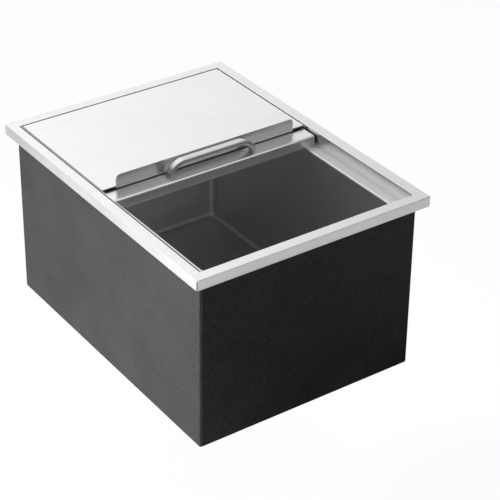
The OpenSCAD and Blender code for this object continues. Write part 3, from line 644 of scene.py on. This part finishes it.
tint = get(tree, "ShaderNodeCombineColor", {"Red": paper_tone, "Green": paper_tone, "Blue": paper_tone})
tree.links.new(tint, paper.inputs["Base Color"])
paper.inputs["Roughness"].default_value = 0.9

# %% [markdown]
# To the lens and to what mirrors it, the sheet mostly glows instead of being lit: white to the lens, and
# in its tones to the steel. So the background is even, wherever the lamps stand.

# %% The sheet's glow
rays = put(tree, "ShaderNodeLightPath").outputs
to_lens = get(tree, "ShaderNodeEmission", {"Color": WHITE, "Strength": lens_level})
to_gloss = get(tree, "ShaderNodeEmission", {"Color": WHITE, "Strength": tone})
glow_share = 0.86
surface = paper.outputs[0]
for ray, glow in (("Is Glossy Ray", to_gloss), ("Is Camera Ray", to_lens)):
    share = times(tree, rays[ray], glow_share)
    surface = get(tree, "ShaderNodeMixShader", {0: share, 1: surface, 2: glow})
tree.links.new(surface, tree.nodes["Material Output"].inputs["Surface"])
print("floor shader has", len(tree.nodes), "nodes")

# %% [markdown]
# The sheet is one large face just below the lowest solid. It belongs to the stage, not to the bin.

# %% The sheet
floor_data = bpy.data.meshes.new("floor")
reach, floor_gap = 14.0, 0.5*mm
floor_z = cad_low.z - floor_gap
floor_data.from_pydata([(-reach, -reach, floor_z), (reach, -reach, floor_z), (reach, reach, floor_z),
                        (-reach, reach, floor_z)], [], [(0, 1, 2, 3)])
floor_data.materials.append(floor_material)
new_object("floor", floor_data)
print("floor at", round(floor_z, 4))


# %% [markdown]
# ## Bending sheet metal
#
# A folded sheet is a path of straight runs joined by arcs, with a thickness. One helper rounds the
# path's corners, a second thickens it to a closed section, and a third says how far each point lies
# on a bend, which the steel finish reads to polish the folds.

# %% Sheet helpers
# Where only a bend is wanted, its path goes on this far, which gives the bend its direction.
PAST_BEND = 40*mm


def fold_path(path, radii, steps=5):
    """Round each inner corner of a flat path. Gives its points, and True for those on a bend."""
    path = [Vector(p) for p in path]
    made, on_bend = [path[0]], [False]
    for before, here, after, radius in zip(path, path[1:], path[2:], radii):
        into, out = (here - before).normalized(), (after - here).normalized()
        turned = into.angle_signed(out)
        side = -1 if turned > 0 else 1
        start = here - into*radius*tan(abs(turned)/2)
        centre = start + Vector((-into.y, into.x))*radius*side
        for k in range(steps + 1):
            spoke = Matrix.Rotation(side*abs(turned)*k/steps, 2) @ (start - centre)
            made.append(centre + spoke)
            on_bend.append(0 < k < steps)
    return made + [path[-1]], on_bend + [False]


def thick_section(points, thickness):
    """The path and its copy at the sheet's other face, as one closed loop."""
    far = []
    for k, point in enumerate(points):
        a = (point - points[k - 1]).normalized() if k else (points[1] - point).normalized()
        b = (points[k + 1] - point).normalized() if k < len(points) - 1 else a
        normal = Vector((-a.y - b.y, a.x + b.x)).normalized()
        far.append(point + normal*thickness/max(normal.dot(Vector((-a.y, a.x))), 0.5))
    return points + far[::-1]


def rounded_box(low_x, high_x, low_y, high_y, corner, z, steps=5):
    """A level ring round a box with round corners, anticlockwise from above."""
    ring = []
    for x, y, start in ((high_x, high_y, 0), (low_x, high_y, 90), (low_x, low_y, 180), (high_x, low_y, 270)):
        centre_x = x + (corner if x == low_x else -corner)
        centre_y = y + (corner if y == low_y else -corner)
        for k in range(steps + 1):
            a = radians(start + 90*k/steps)
            ring.append(Vector((centre_x + corner*cos(a), centre_y + corner*sin(a), z)))
    return ring


def centred_box(half_x, half_y, corner, z, steps=5):
    return rounded_box(-half_x, half_x, -half_y, half_y, corner, z, steps)


def round_ring(radius, z, steps):
    """A level ring about the upright axis, anticlockwise from above."""
    return [Vector((radius*cos(a), radius*sin(a), z)) for a in angles_round(steps)]


# %% [markdown]
# ## The rim
#
# One sheet makes the whole rim: a foot on the tub's ledge, the recess wall, the flat top, the lip
# outside and the return that sits on the counter. Its section is drawn once and carried round the
# opening. The lip's flanges are cut apart at the corners, where the real one has open seams.

# %% Rim
rim_w, rim_l = rim_high.x - rim_low.x, rim_high.y - rim_low.y
rim_t, face_w = 1*mm, 20.5*mm
opening_x, opening_y = rim_w/2 - face_w, rim_l/2 - face_w
return_w, foot_w = 12*mm, 3.1*mm
mouth_corner, corner_growth = 1*mm, 0.03

rim_path, rim_bends = fold_path(
    [(foot_w, rim_low.z), (0, rim_low.z), (0, rim_high.z), (face_w, rim_high.z), (face_w, 0),
     (face_w - return_w, 0)],
    [1.1*mm, 1.2*mm, 1.3*mm, 1.3*mm])
rim_section = thick_section(rim_path, -rim_t)
rim_rings = [centred_box(opening_x + d, opening_y + d, mouth_corner + corner_growth*d, z)
             for d, z in rim_section]
skin_depth = 0.5*mm
print("rim section has", len(rim_section), "points")


# Points inside the rim's folded hollow are painted dark as shade.
def shaded_hollow(p):
    outwards = max(abs(p.x) - opening_x, abs(p.y) - opening_y)
    return (skin_depth < outwards < face_w - skin_depth
            and skin_depth < p.z < rim_high.z - skin_depth)


rim_mesh, _ = join_rings(rim_rings, closed=True, bends=rim_bends + rim_bends[::-1], gap_shade=shaded_hollow)

# %% [markdown]
# The seams are cut with four thin slabs that stand across the corners. A long slab cuts the dark slot
# that runs beside the left inner edge, and a narrow bright hem lies next to it. A Boolean modifier takes
# the slabs away, and its result is read back as a plain mesh.


# %% Open seams and the left slot
def cut_away(mesh, slabs):
    data = [bpy.data.meshes.new(name) for name in ("whole", "slabs")]
    for made, drawn in zip(data, (mesh, slabs)):
        bmesh.ops.recalc_face_normals(drawn, faces=drawn.faces)
        drawn.to_mesh(made)
        drawn.free()
    whole, blades = new_object("whole", data[0]), new_object("slabs", data[1])
    cut = whole.modifiers.new("seams", "BOOLEAN")
    cut.operation, cut.solver, cut.object = "DIFFERENCE", "EXACT", blades
    graph = bpy.context.evaluated_depsgraph_get()
    result = bmesh.new()
    result.from_mesh(whole.evaluated_get(graph).to_mesh())
    for made in (whole, blades):
        bpy.data.objects.remove(made)
    return result


def add_slab(mesh, corners, low, high):
    closed_stack([[Vector((x, y, z)) for x, y in corners] for z in (low, high)], mesh=mesh)


seam_w, seam_in, seam_out = 1.6*mm, 19*mm, 4*mm
seam_low, seam_high = -2*mm, rim_high.z - 1.5*mm
slot_near, slot_w, slot_end, slot_low = 0.2*mm, 2.6*mm, 0.6*mm, rim_high.z - 3*mm
hem_w, hem_round, above_rim = 1.4*mm, 0.5*mm, rim_high.z + 1*mm
slabs = bmesh.new()
for sx, sy in ((-1, -1), (1, -1), (1, 1), (-1, 1)):
    corner, inwards = Vector((sx*rim_w/2, sy*rim_l/2)), Vector((-sx, -sy)).normalized()
    across = Vector((-inwards.y, inwards.x))*seam_w/2
    ends = [corner - inwards*seam_out - across, corner + inwards*seam_in - across,
            corner + inwards*seam_in + across, corner - inwards*seam_out + across]
    add_slab(slabs, ends, seam_low, seam_high)
near, reach_y = -opening_x - slot_near, opening_y - slot_end
far = near - slot_w
add_slab(slabs, ((near, -reach_y), (far, -reach_y), (far, reach_y), (near, reach_y)), slot_low, above_rim)
rim_mesh = cut_away(rim_mesh, slabs)
hem_section = rounded_box(near, near + hem_w, slot_low, rim_high.z, hem_round, 0, 3)
closed_stack([[Vector((v.x, y, v.y)) for v in hem_section] for y in (-reach_y, reach_y)], mesh=rim_mesh)
finish_piece("folded_rim", rim_mesh, rim_finish, "bin", ["rim_frame"])

# %% [markdown]
# ## The tub
#
# The tub is pressed from one sheet as well: a ledge round the mouth, a rolled inner edge, walls with
# round corners, a filleted floor and a shallow round well for the strainer. The walls are rings of a
# rounded box, the well is rings of a circle, and the flat floor between them is filled.

# %% Tub
tub_low, tub_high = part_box("tub")
ledge_z, well_z = tub_high.z, tub_low.z + 1*mm
ledge_w, tub_corner, square_corner = 24*mm, 12*mm, 3*mm
inner_x, inner_y = opening_x - ledge_w, opening_y - ledge_w
floor_top, mouth_r, floor_r = well_z + 5*mm, 2.5*mm, 10*mm
well_top_r, well_r, well_foot_r, well_steps = 64*mm, 61*mm, 45.2*mm, 96
tub_path, tub_bends = fold_path(
    [(tub_high.x - inner_x, ledge_z), (0, ledge_z), (0, floor_top), (-PAST_BEND, floor_top)],
    [mouth_r, floor_r], 6)
tub_rings = []
for d, z in tub_path[:-1]:
    corner = square_corner if d > ledge_w/2 else tub_corner + d
    tub_rings.append(centred_box(inner_x + d, inner_y + d, corner, z, 8))
tub_mesh, rows = join_rings(tub_rings, bends=tub_bends)
well_path, well_bends = fold_path(
    [(well_top_r, floor_top), (well_r, floor_top), (well_r, well_z), (well_foot_r, well_z)],
    [1.2*mm, 2*mm], 4)
well_rings = [round_ring(r, z, well_steps) for r, z in well_path]
_, well_rows = join_rings(well_rings, bends=well_bends, mesh=tub_mesh)
floor_edges = [tub_mesh.edges.get((row[k], row[(k + 1) % len(row)])) for row in (rows[-1], well_rows[0])
               for k in range(len(row))]
bmesh.ops.triangle_fill(tub_mesh, edges=floor_edges, use_beauty=True)
finish_piece("pressed_tub", tub_mesh, tub_finish, "bin", ["tub"], sheet=1*mm)

# %% [markdown]
# ## The rear cover
#
# A flush plate with all its edges turned down, and a flat strip welded against its front edge that
# stands up as a stop for the hand. The plate's front is set back by nearly the strip's thickness,
# because two faces in one plane would flicker in a render.

# %% Rear cover
cover_low, cover_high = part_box("rear_cover")
cover_t, edge_h = 1.2*mm, 3.5*mm
strip_half, strip_corner = 180*mm, 9*mm
top_z, front_y = rim_high.z, cover_low.y
plate_y, plate_corner, least_corner = front_y + 0.95*cover_t, 2.2*mm, 0.4*mm
unshaded_top, shade_fade = 0.2*mm, 0.8*mm

cover_path, cover_bends = fold_path([(0, top_z - edge_h), (0, top_z), (PAST_BEND, top_z)], [0.6*edge_h], 5)
cover_rings = [
    rounded_box(cover_low.x + d, cover_high.x - d, plate_y + d, cover_high.y - d,
                max(plate_corner - d, least_corner), z)
    for d, z in cover_path[:-1]]
# The turned-down edges are painted dark as shade below their top, where the gap to the rim lies.
cover_mesh, rows = join_rings(cover_rings, bends=cover_bends,
                              gap_shade=lambda p: min(max((top_z - unshaded_top - p.z)/shade_fade, 0), 1))
cover_mesh.faces.new(rows[-1])
finish_piece("rear_cover_plate", cover_mesh, cover_finish, "rear_cover",
             ["rear_cover"], sheet=cover_t)

# %% [markdown]
# The strip is cut from flat sheet, with two round upper corners. Its cut edges are only a hair round: four
# rings, the outer two drawn in a little, give that without a bevel.

# %% The strip that stands up
strip_top = cover_high.z
half_outline = [Vector((strip_half, 0, top_z - edge_h))] + [
    Vector((strip_half - strip_corner*(1 - cos(a)), 0, strip_top - strip_corner*(1 - sin(a))))
    for a in (radians(9*k) for k in range(11))]
outline = half_outline + [Vector((-v.x, 0, v.z)) for v in half_outline[::-1]]
ease = 0.25*mm


def strip_ring(inset, y):
    """The outline drawn in by the inset, which rounds the strip's cut edge."""
    middle_z = (strip_top + top_z)/2
    share_x, share_z = 1 - inset/strip_half, 1 - inset/(strip_top - middle_z)
    return [Vector((v.x*share_x, y, middle_z + (v.z - middle_z)*share_z)) for v in outline]


strip_rings = [strip_ring(ease, front_y), strip_ring(0, front_y + ease),
               strip_ring(0, front_y + cover_t - ease), strip_ring(ease, front_y + cover_t)]
strip_mesh = closed_stack(strip_rings, bends=[True]*4)
finish_piece("rear_cover_upstand", strip_mesh, cover_finish, "rear_cover", sharp=40)

# %% [markdown]
# ## The sliding cover and its handle
#
# The lower cover is a shallow pan turned upside down, with all its edges folded down to the ledge. The
# handle is screwed to it from below.

# %% Sliding cover
slide_low, slide_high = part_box("sliding_cover")
slide_path, slide_bends = fold_path(
    [(0, slide_low.z), (0, slide_high.z), (PAST_BEND, slide_high.z)], [3.5*mm], 7)
slide_rings = [
    rounded_box(slide_low.x + d, slide_high.x - d, slide_low.y + d, slide_high.y - d,
                max(4*mm - d, 0.5*mm), z)
    for d, z in slide_path[:-1]]
# The side flanges under the rails are painted dark as shade below the top.
slide_mesh, rows = join_rings(
    slide_rings, bends=slide_bends,
    gap_shade=lambda p: abs(p.x) > slide_high.x - 0.4*mm and p.z < slide_high.z - 2*mm)
slide_mesh.faces.new(rows[-1])
finish_piece("sliding_cover_pan", slide_mesh, cover_finish, "sliding_cover",
             ["sliding_cover"], sheet=1*mm)

# %% [markdown]
# The handle is one flat bar with rounded edges. Each leg stands up for a millimetre, leans in through
# a tight bend and goes over into the grip through a wide shoulder. The path is drawn as two arcs for
# each side, and a rounded rectangle is carried along it.

# %% Handle
grip_low, grip_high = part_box("handle")
bar_t, bar_w, bar_round = 8*mm, grip_high.y - grip_low.y, 3*mm
foot_x, bar_y, bar_z = grip_high.x - bar_t/2, (grip_low.y + grip_high.y)/2, grip_high.z - bar_t/2
foot_rise, lean, foot_r = 1*mm, radians(50), 18*mm
shoulder_r = (bar_z - grip_low.z - foot_rise - foot_r*sin(lean))/(1 - sin(lean))
shoulder_x = foot_x - foot_r + (foot_r - shoulder_r)*cos(lean)

leg = [(foot_x, grip_low.z)]
for k in range(9):
    a = lean*k/8
    leg.append((foot_x - foot_r*(1 - cos(a)), grip_low.z + foot_rise + foot_r*sin(a)))
for k in range(1, 11):
    a = lean + (pi/2 - lean)*k/10
    leg.append((shoulder_x + shoulder_r*cos(a), bar_z - shoulder_r*(1 - sin(a))))
bar_path = [Vector(p) for p in leg + [(-x, z) for x, z in leg[::-1]]]

bar_section = centred_box(bar_w/2, bar_t/2, bar_round, 0, 6)
bar_rings = []
for k, (x, z) in enumerate(bar_path):
    before, after = bar_path[max(k - 1, 0)], bar_path[min(k + 1, len(bar_path) - 1)]
    heading = (after - before).normalized()
    out = Vector((-heading.y, 0, heading.x))
    bar_rings.append([Vector((x, bar_y + v.x, z)) + out*v.y for v in bar_section])
finish_piece("handle_bar", closed_stack(bar_rings), handle_finish, "sliding_cover",
             ["handle"], sharp=60)
print("shoulder radius", round(shoulder_r/mm, 1), "mm")

# %% [markdown]
# ## Panels and moulded pieces
#
# These solids have the right shape, but their edges are knife sharp, and no real edge is. Each solid is
# copied, its loose triangles are merged and flat ones joined, and every edge of more than 30 degrees is
# eased by a fraction of a millimetre. The eased faces carry the fold mark, so they wear like bends.


# %% Eased copies
def eased_piece(name, node, material, body, ease, corner=30):
    """A copy of a solid. Its edges sharper than the corner angle, in degrees, are eased."""
    mesh = bmesh.new()
    mesh.from_mesh(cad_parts[node].data)
    bmesh.ops.remove_doubles(mesh, verts=mesh.verts, dist=1e-6)
    bmesh.ops.dissolve_limit(mesh, angle_limit=radians(0.5), verts=mesh.verts, edges=mesh.edges)
    mark = mesh.faces.layers.float.new("fold")
    edges = [e for e in mesh.edges if len(e.link_faces) == 2 and e.calc_face_angle(0) > radians(corner)]
    made = bmesh.ops.bevel(mesh, geom=edges, offset=ease, segments=2, profile=0.5, affect="EDGES",
                           clamp_overlap=True)
    for face in made["faces"]:
        face[mark] = 1.0
    finish_piece(name, mesh, material, body, [node], sharp=50)


for node in ("case_left", "case_right", "case_front", "case_back", "base_panel"):
    eased_piece(node + "_panel", node, case_finish, "bin", 0.3*mm)
for node in ("rail_left", "rail_right"):
    eased_piece(node + "_angle", node, tub_finish, "bin", 0.3*mm)

# %% [markdown]
# ## The drain
#
# A pressed steel flange sits in the tub's well, and a plastic body is clamped to it from below. The
# spigot carries a lock ring and a coupling nut, then a pipe, a hose nut and the neck. Turned and moulded
# pieces keep their solids' shapes with eased edges.

# %% Drain pieces
for name, node, material, slot, ease in (
        ("strainer_dish", "strainer_flange", drain_steel, "strainer_steel", 0.45*mm),
        ("drain_housing", "drain_body", drain_plastic, "drain_plastic", 0.6*mm),
        ("bolt_thumb_head", "thumb_head", black_plastic, "black_plastic", 0.6*mm),
        ("bolt_wing_nut", "wing_nut", black_plastic, "black_plastic", 0.6*mm),
        ("spigot_lock_ring", "lock_ring", handle_finish, "handle_steel", 0.4*mm),
        ("outlet_pipe", "waste_pipe", pipe_plastic, "pipe_plastic", 0.4*mm),
        ("spigot_coupling_nut", "coupling_nut", pipe_plastic, "pipe_plastic", 0.5*mm),
        ("hose_adapter", "hose_neck", pipe_plastic, "pipe_plastic", 0.3*mm)):
    eased_piece(name, node, material, "bin", ease)
eased_piece("lift_out_stopper", "stopper", drain_steel, "stopper", 0.5*mm)

# %% [markdown]
# Round pieces come from a lathe or a round mould, and they are turned here as well: half a section is
# drawn, its corners are rounded, and it is carried about the upright axis.


# %% Turned pieces
def turned_mesh(profile, radii, steps=72):
    """Turn a section of (radius, height) about the upright axis. Its corners are rounded first, and a
    section that starts on the axis gets a small flat face at each end."""
    path, bends = fold_path(profile, radii, 4)
    smallest = 0.3*mm
    rings = [round_ring(max(r, smallest), z, steps) for r, z in path]
    if profile[0][0] == 0:
        return closed_stack(rings, bends)
    return join_rings(rings, closed=True, bends=bends)[0]


# %% [markdown]
# The strainer plate is perforated in four rings. Geometry Nodes set one punch on each point of a ring.
# The punches of all four rings are joined and cut out of the plate in a single Boolean.

# %% Punch tree
punch_tree, given = shape_tree("punch_ring", [
    ("Holes", INT, 8), ("Ring radius", FLOAT, 0.01), ("Hole radius", FLOAT, 0.0016),
    ("Depth", FLOAT, 0.004), ("Turn", FLOAT, 0.0), ("Height", FLOAT, 0.0)])
punch_points = get(punch_tree, "GeometryNodeMeshCircle",
                   {"Vertices": given["Holes"], "Radius": given["Ring radius"]})
punch = get(punch_tree, "GeometryNodeMeshCylinder",
            {"Vertices": 12, "Radius": given["Hole radius"], "Depth": given["Depth"]})
punches = get(punch_tree, "GeometryNodeInstanceOnPoints",
              {"Points": punch_points, "Instance": punch})
lift = get(punch_tree, "ShaderNodeCombineXYZ", {"Z": given["Height"]})
spin = get(punch_tree, "ShaderNodeCombineXYZ", {"Z": given["Turn"]})
placed = get(punch_tree, "GeometryNodeTransform",
             {"Geometry": punches, "Translation": lift, "Rotation": spin})
end_tree(punch_tree, placed, given)

# %% [markdown]
# The plate is turned with its raised rim. Each ring of holes is turned half a hole more than the one
# inside it, so that the holes don't stand in rows.

# %% Strainer plate
plate_low, plate_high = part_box("strainer_plate")
plate_r, plate_t, bead_w = plate_high.x, 1.2*mm, 6*mm
punched = bmesh.new()
for k, (ring_r, holes) in enumerate(((10, 8), (16, 14), (22, 18), (28, 24))):
    ring_mesh = grown_mesh(bpy.data.meshes.new("punch_base"), punch_tree, Holes=holes, Ring_radius=ring_r*mm,
                           Hole_radius=1.6*mm, Depth=4*mm, Turn=tau*k/2/holes,
                           Height=plate_low.z + plate_t/2, Material=drain_steel)
    punched.from_mesh(ring_mesh)
plate_mesh = turned_mesh(
    [(0, plate_low.z), (plate_r, plate_low.z), (plate_r, plate_high.z), (plate_r - bead_w, plate_high.z),
     (plate_r - bead_w, plate_low.z + plate_t), (0, plate_low.z + plate_t)],
    [1.5*mm, 1.4*mm, 1.4*mm, 1.0*mm])
finish_piece("perforated_plate", cut_away(plate_mesh, punched), drain_steel, "strainer_plate",
             ["strainer_plate"], sharp=50)

# %% [markdown]
# The hose nut is turned by hand, so it has twelve grips. One rounded grip is drawn, and Geometry Nodes
# set it on a circle and turn each copy outwards.

# %% Grip tree
grip_tree, given = shape_tree("nut_grips", [("Grips", INT, 12), ("Circle radius", FLOAT, 0.02)])
grip_points = get(grip_tree, "GeometryNodeMeshCircle",
                  {"Vertices": given["Grips"], "Radius": given["Circle radius"]})
order = grip_tree.nodes.new("GeometryNodeInputIndex").outputs[0]
each = get(grip_tree, "ShaderNodeMath", {0: tau, 1: given["Grips"]}, operation="DIVIDE")
outward = get(grip_tree, "ShaderNodeCombineXYZ", {"Z": times(grip_tree, order, each)})
grips = get(grip_tree, "GeometryNodeInstanceOnPoints",
            {"Points": grip_points, "Instance": given["Geometry"], "Rotation": outward})
end_tree(grip_tree, grips, given)

# %% [markdown]
# The nut is a turned collar with a lip at its lower end that holds the neck. The grips are sunk into its
# wall, so no gap shows beside them.


# %% Hose nut
def drawn_mesh(name, mesh):
    """A mesh of the build as plain data, for a tree to repeat."""
    data = bpy.data.meshes.new(name)
    mesh.to_mesh(data)
    mesh.free()
    return data


nut_low, nut_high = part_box("hose_nut")
grip_t, grip_w, grip_round = 3*mm, 6*mm, 0.8*mm
nut_r, nut_bore, lip_bore, lip_t = nut_high.x - 1*mm, 16.6*mm, 14.25*mm, 2*mm
grip_block = closed_stack([
    centred_box(grip_t/2 - d, grip_w/2 - d, grip_round, z, 2)
    for d, z in ((0.5*mm, nut_low.z), (0, nut_low.z + 0.5*mm), (0, nut_high.z - 1.5*mm),
                 (0.5*mm, nut_high.z - 1*mm))])
bmesh.ops.recalc_face_normals(grip_block, faces=grip_block.faces)
grip_ring = grown_mesh(drawn_mesh("one_grip", grip_block), grip_tree, Grips=12,
                       Circle_radius=nut_high.x - grip_t/2, Material=pipe_plastic)
nut_mesh = turned_mesh(
    [(nut_bore, (nut_low.z + nut_high.z)/2), (nut_bore, nut_high.z), (nut_r, nut_high.z), (nut_r, nut_low.z),
     (lip_bore, nut_low.z), (lip_bore, nut_low.z + lip_t), (nut_bore, nut_low.z + lip_t)],
    [0.4*mm, 1.0*mm, 0.6*mm, 0.3*mm, 0.3*mm])
nut_mesh.from_mesh(grip_ring)
finish_piece("grip_nut", nut_mesh, pipe_plastic, "bin", ["hose_nut"], sharp=50)

# %% [markdown]
# Two screws hold the handle from below. They are alike, so one is drawn, with a domed head and a cross
# recess, and a tree sets it under both feet.

# %% Screw tree
screw_tree, given = shape_tree("foot_screws", [
    ("Screws", INT, 2), ("First foot", VECTOR, (0, 0, 0)), ("Step", VECTOR, (0.1, 0, 0))])
feet = get(screw_tree, "GeometryNodeMeshLine",
           {"Count": given["Screws"], "Start Location": given["First foot"], "Offset": given["Step"]})
fixed = get(screw_tree, "GeometryNodeInstanceOnPoints",
            {"Points": feet, "Instance": given["Geometry"]})
end_tree(screw_tree, fixed, given)

# %% [markdown]
# The screw is turned from a round head with an eased rim and a plain shank. Two crossed blocks are cut
# out of the head for the driver.

# %% Handle screws
screw_low, screw_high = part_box("handle_screws")
head_r, head_top, shank_r = screw_high.x - foot_x, slide_high.z - 1*mm, 2*mm
screw_mesh = turned_mesh(
    [(0, screw_low.z), (head_r, screw_low.z), (head_r, head_top), (shank_r, head_top),
     (shank_r, screw_high.z), (0, screw_high.z)],
    [1.1*mm, 0.2*mm, 0.1*mm, 0.4*mm], steps=32)
arm_l, arm_w, recess_h = 2.2*mm, 0.45*mm, 0.9*mm
cross = bmesh.new()
for half_x, half_y in ((arm_l, arm_w), (arm_w, arm_l)):
    arm = closed_stack([centred_box(half_x, half_y, 0.2*mm, z, 1)
                        for z in (screw_low.z - 1*mm, screw_low.z + recess_h)])
    cross.from_mesh(drawn_mesh("recess_arm", arm))
one_screw = drawn_mesh("one_screw", cut_away(screw_mesh, cross))
screw_pair = bmesh.new()
screw_pair.from_mesh(grown_mesh(one_screw, screw_tree, Screws=2, First_foot=(-foot_x, bar_y, 0),
                                Step=(2*foot_x, 0, 0), Material=handle_finish))
finish_piece("foot_screws", screw_pair, handle_finish, "sliding_cover",
             ["handle_screws"], sharp=40)

# %% [markdown]
# Last, the box round the solids is printed. The box round the dressed bin should agree with it,
# because a finish must not make the part larger.

# %% Sizes of the solids
print("CAD box", [round(x, 4) for x in (*cad_low, *cad_high)])
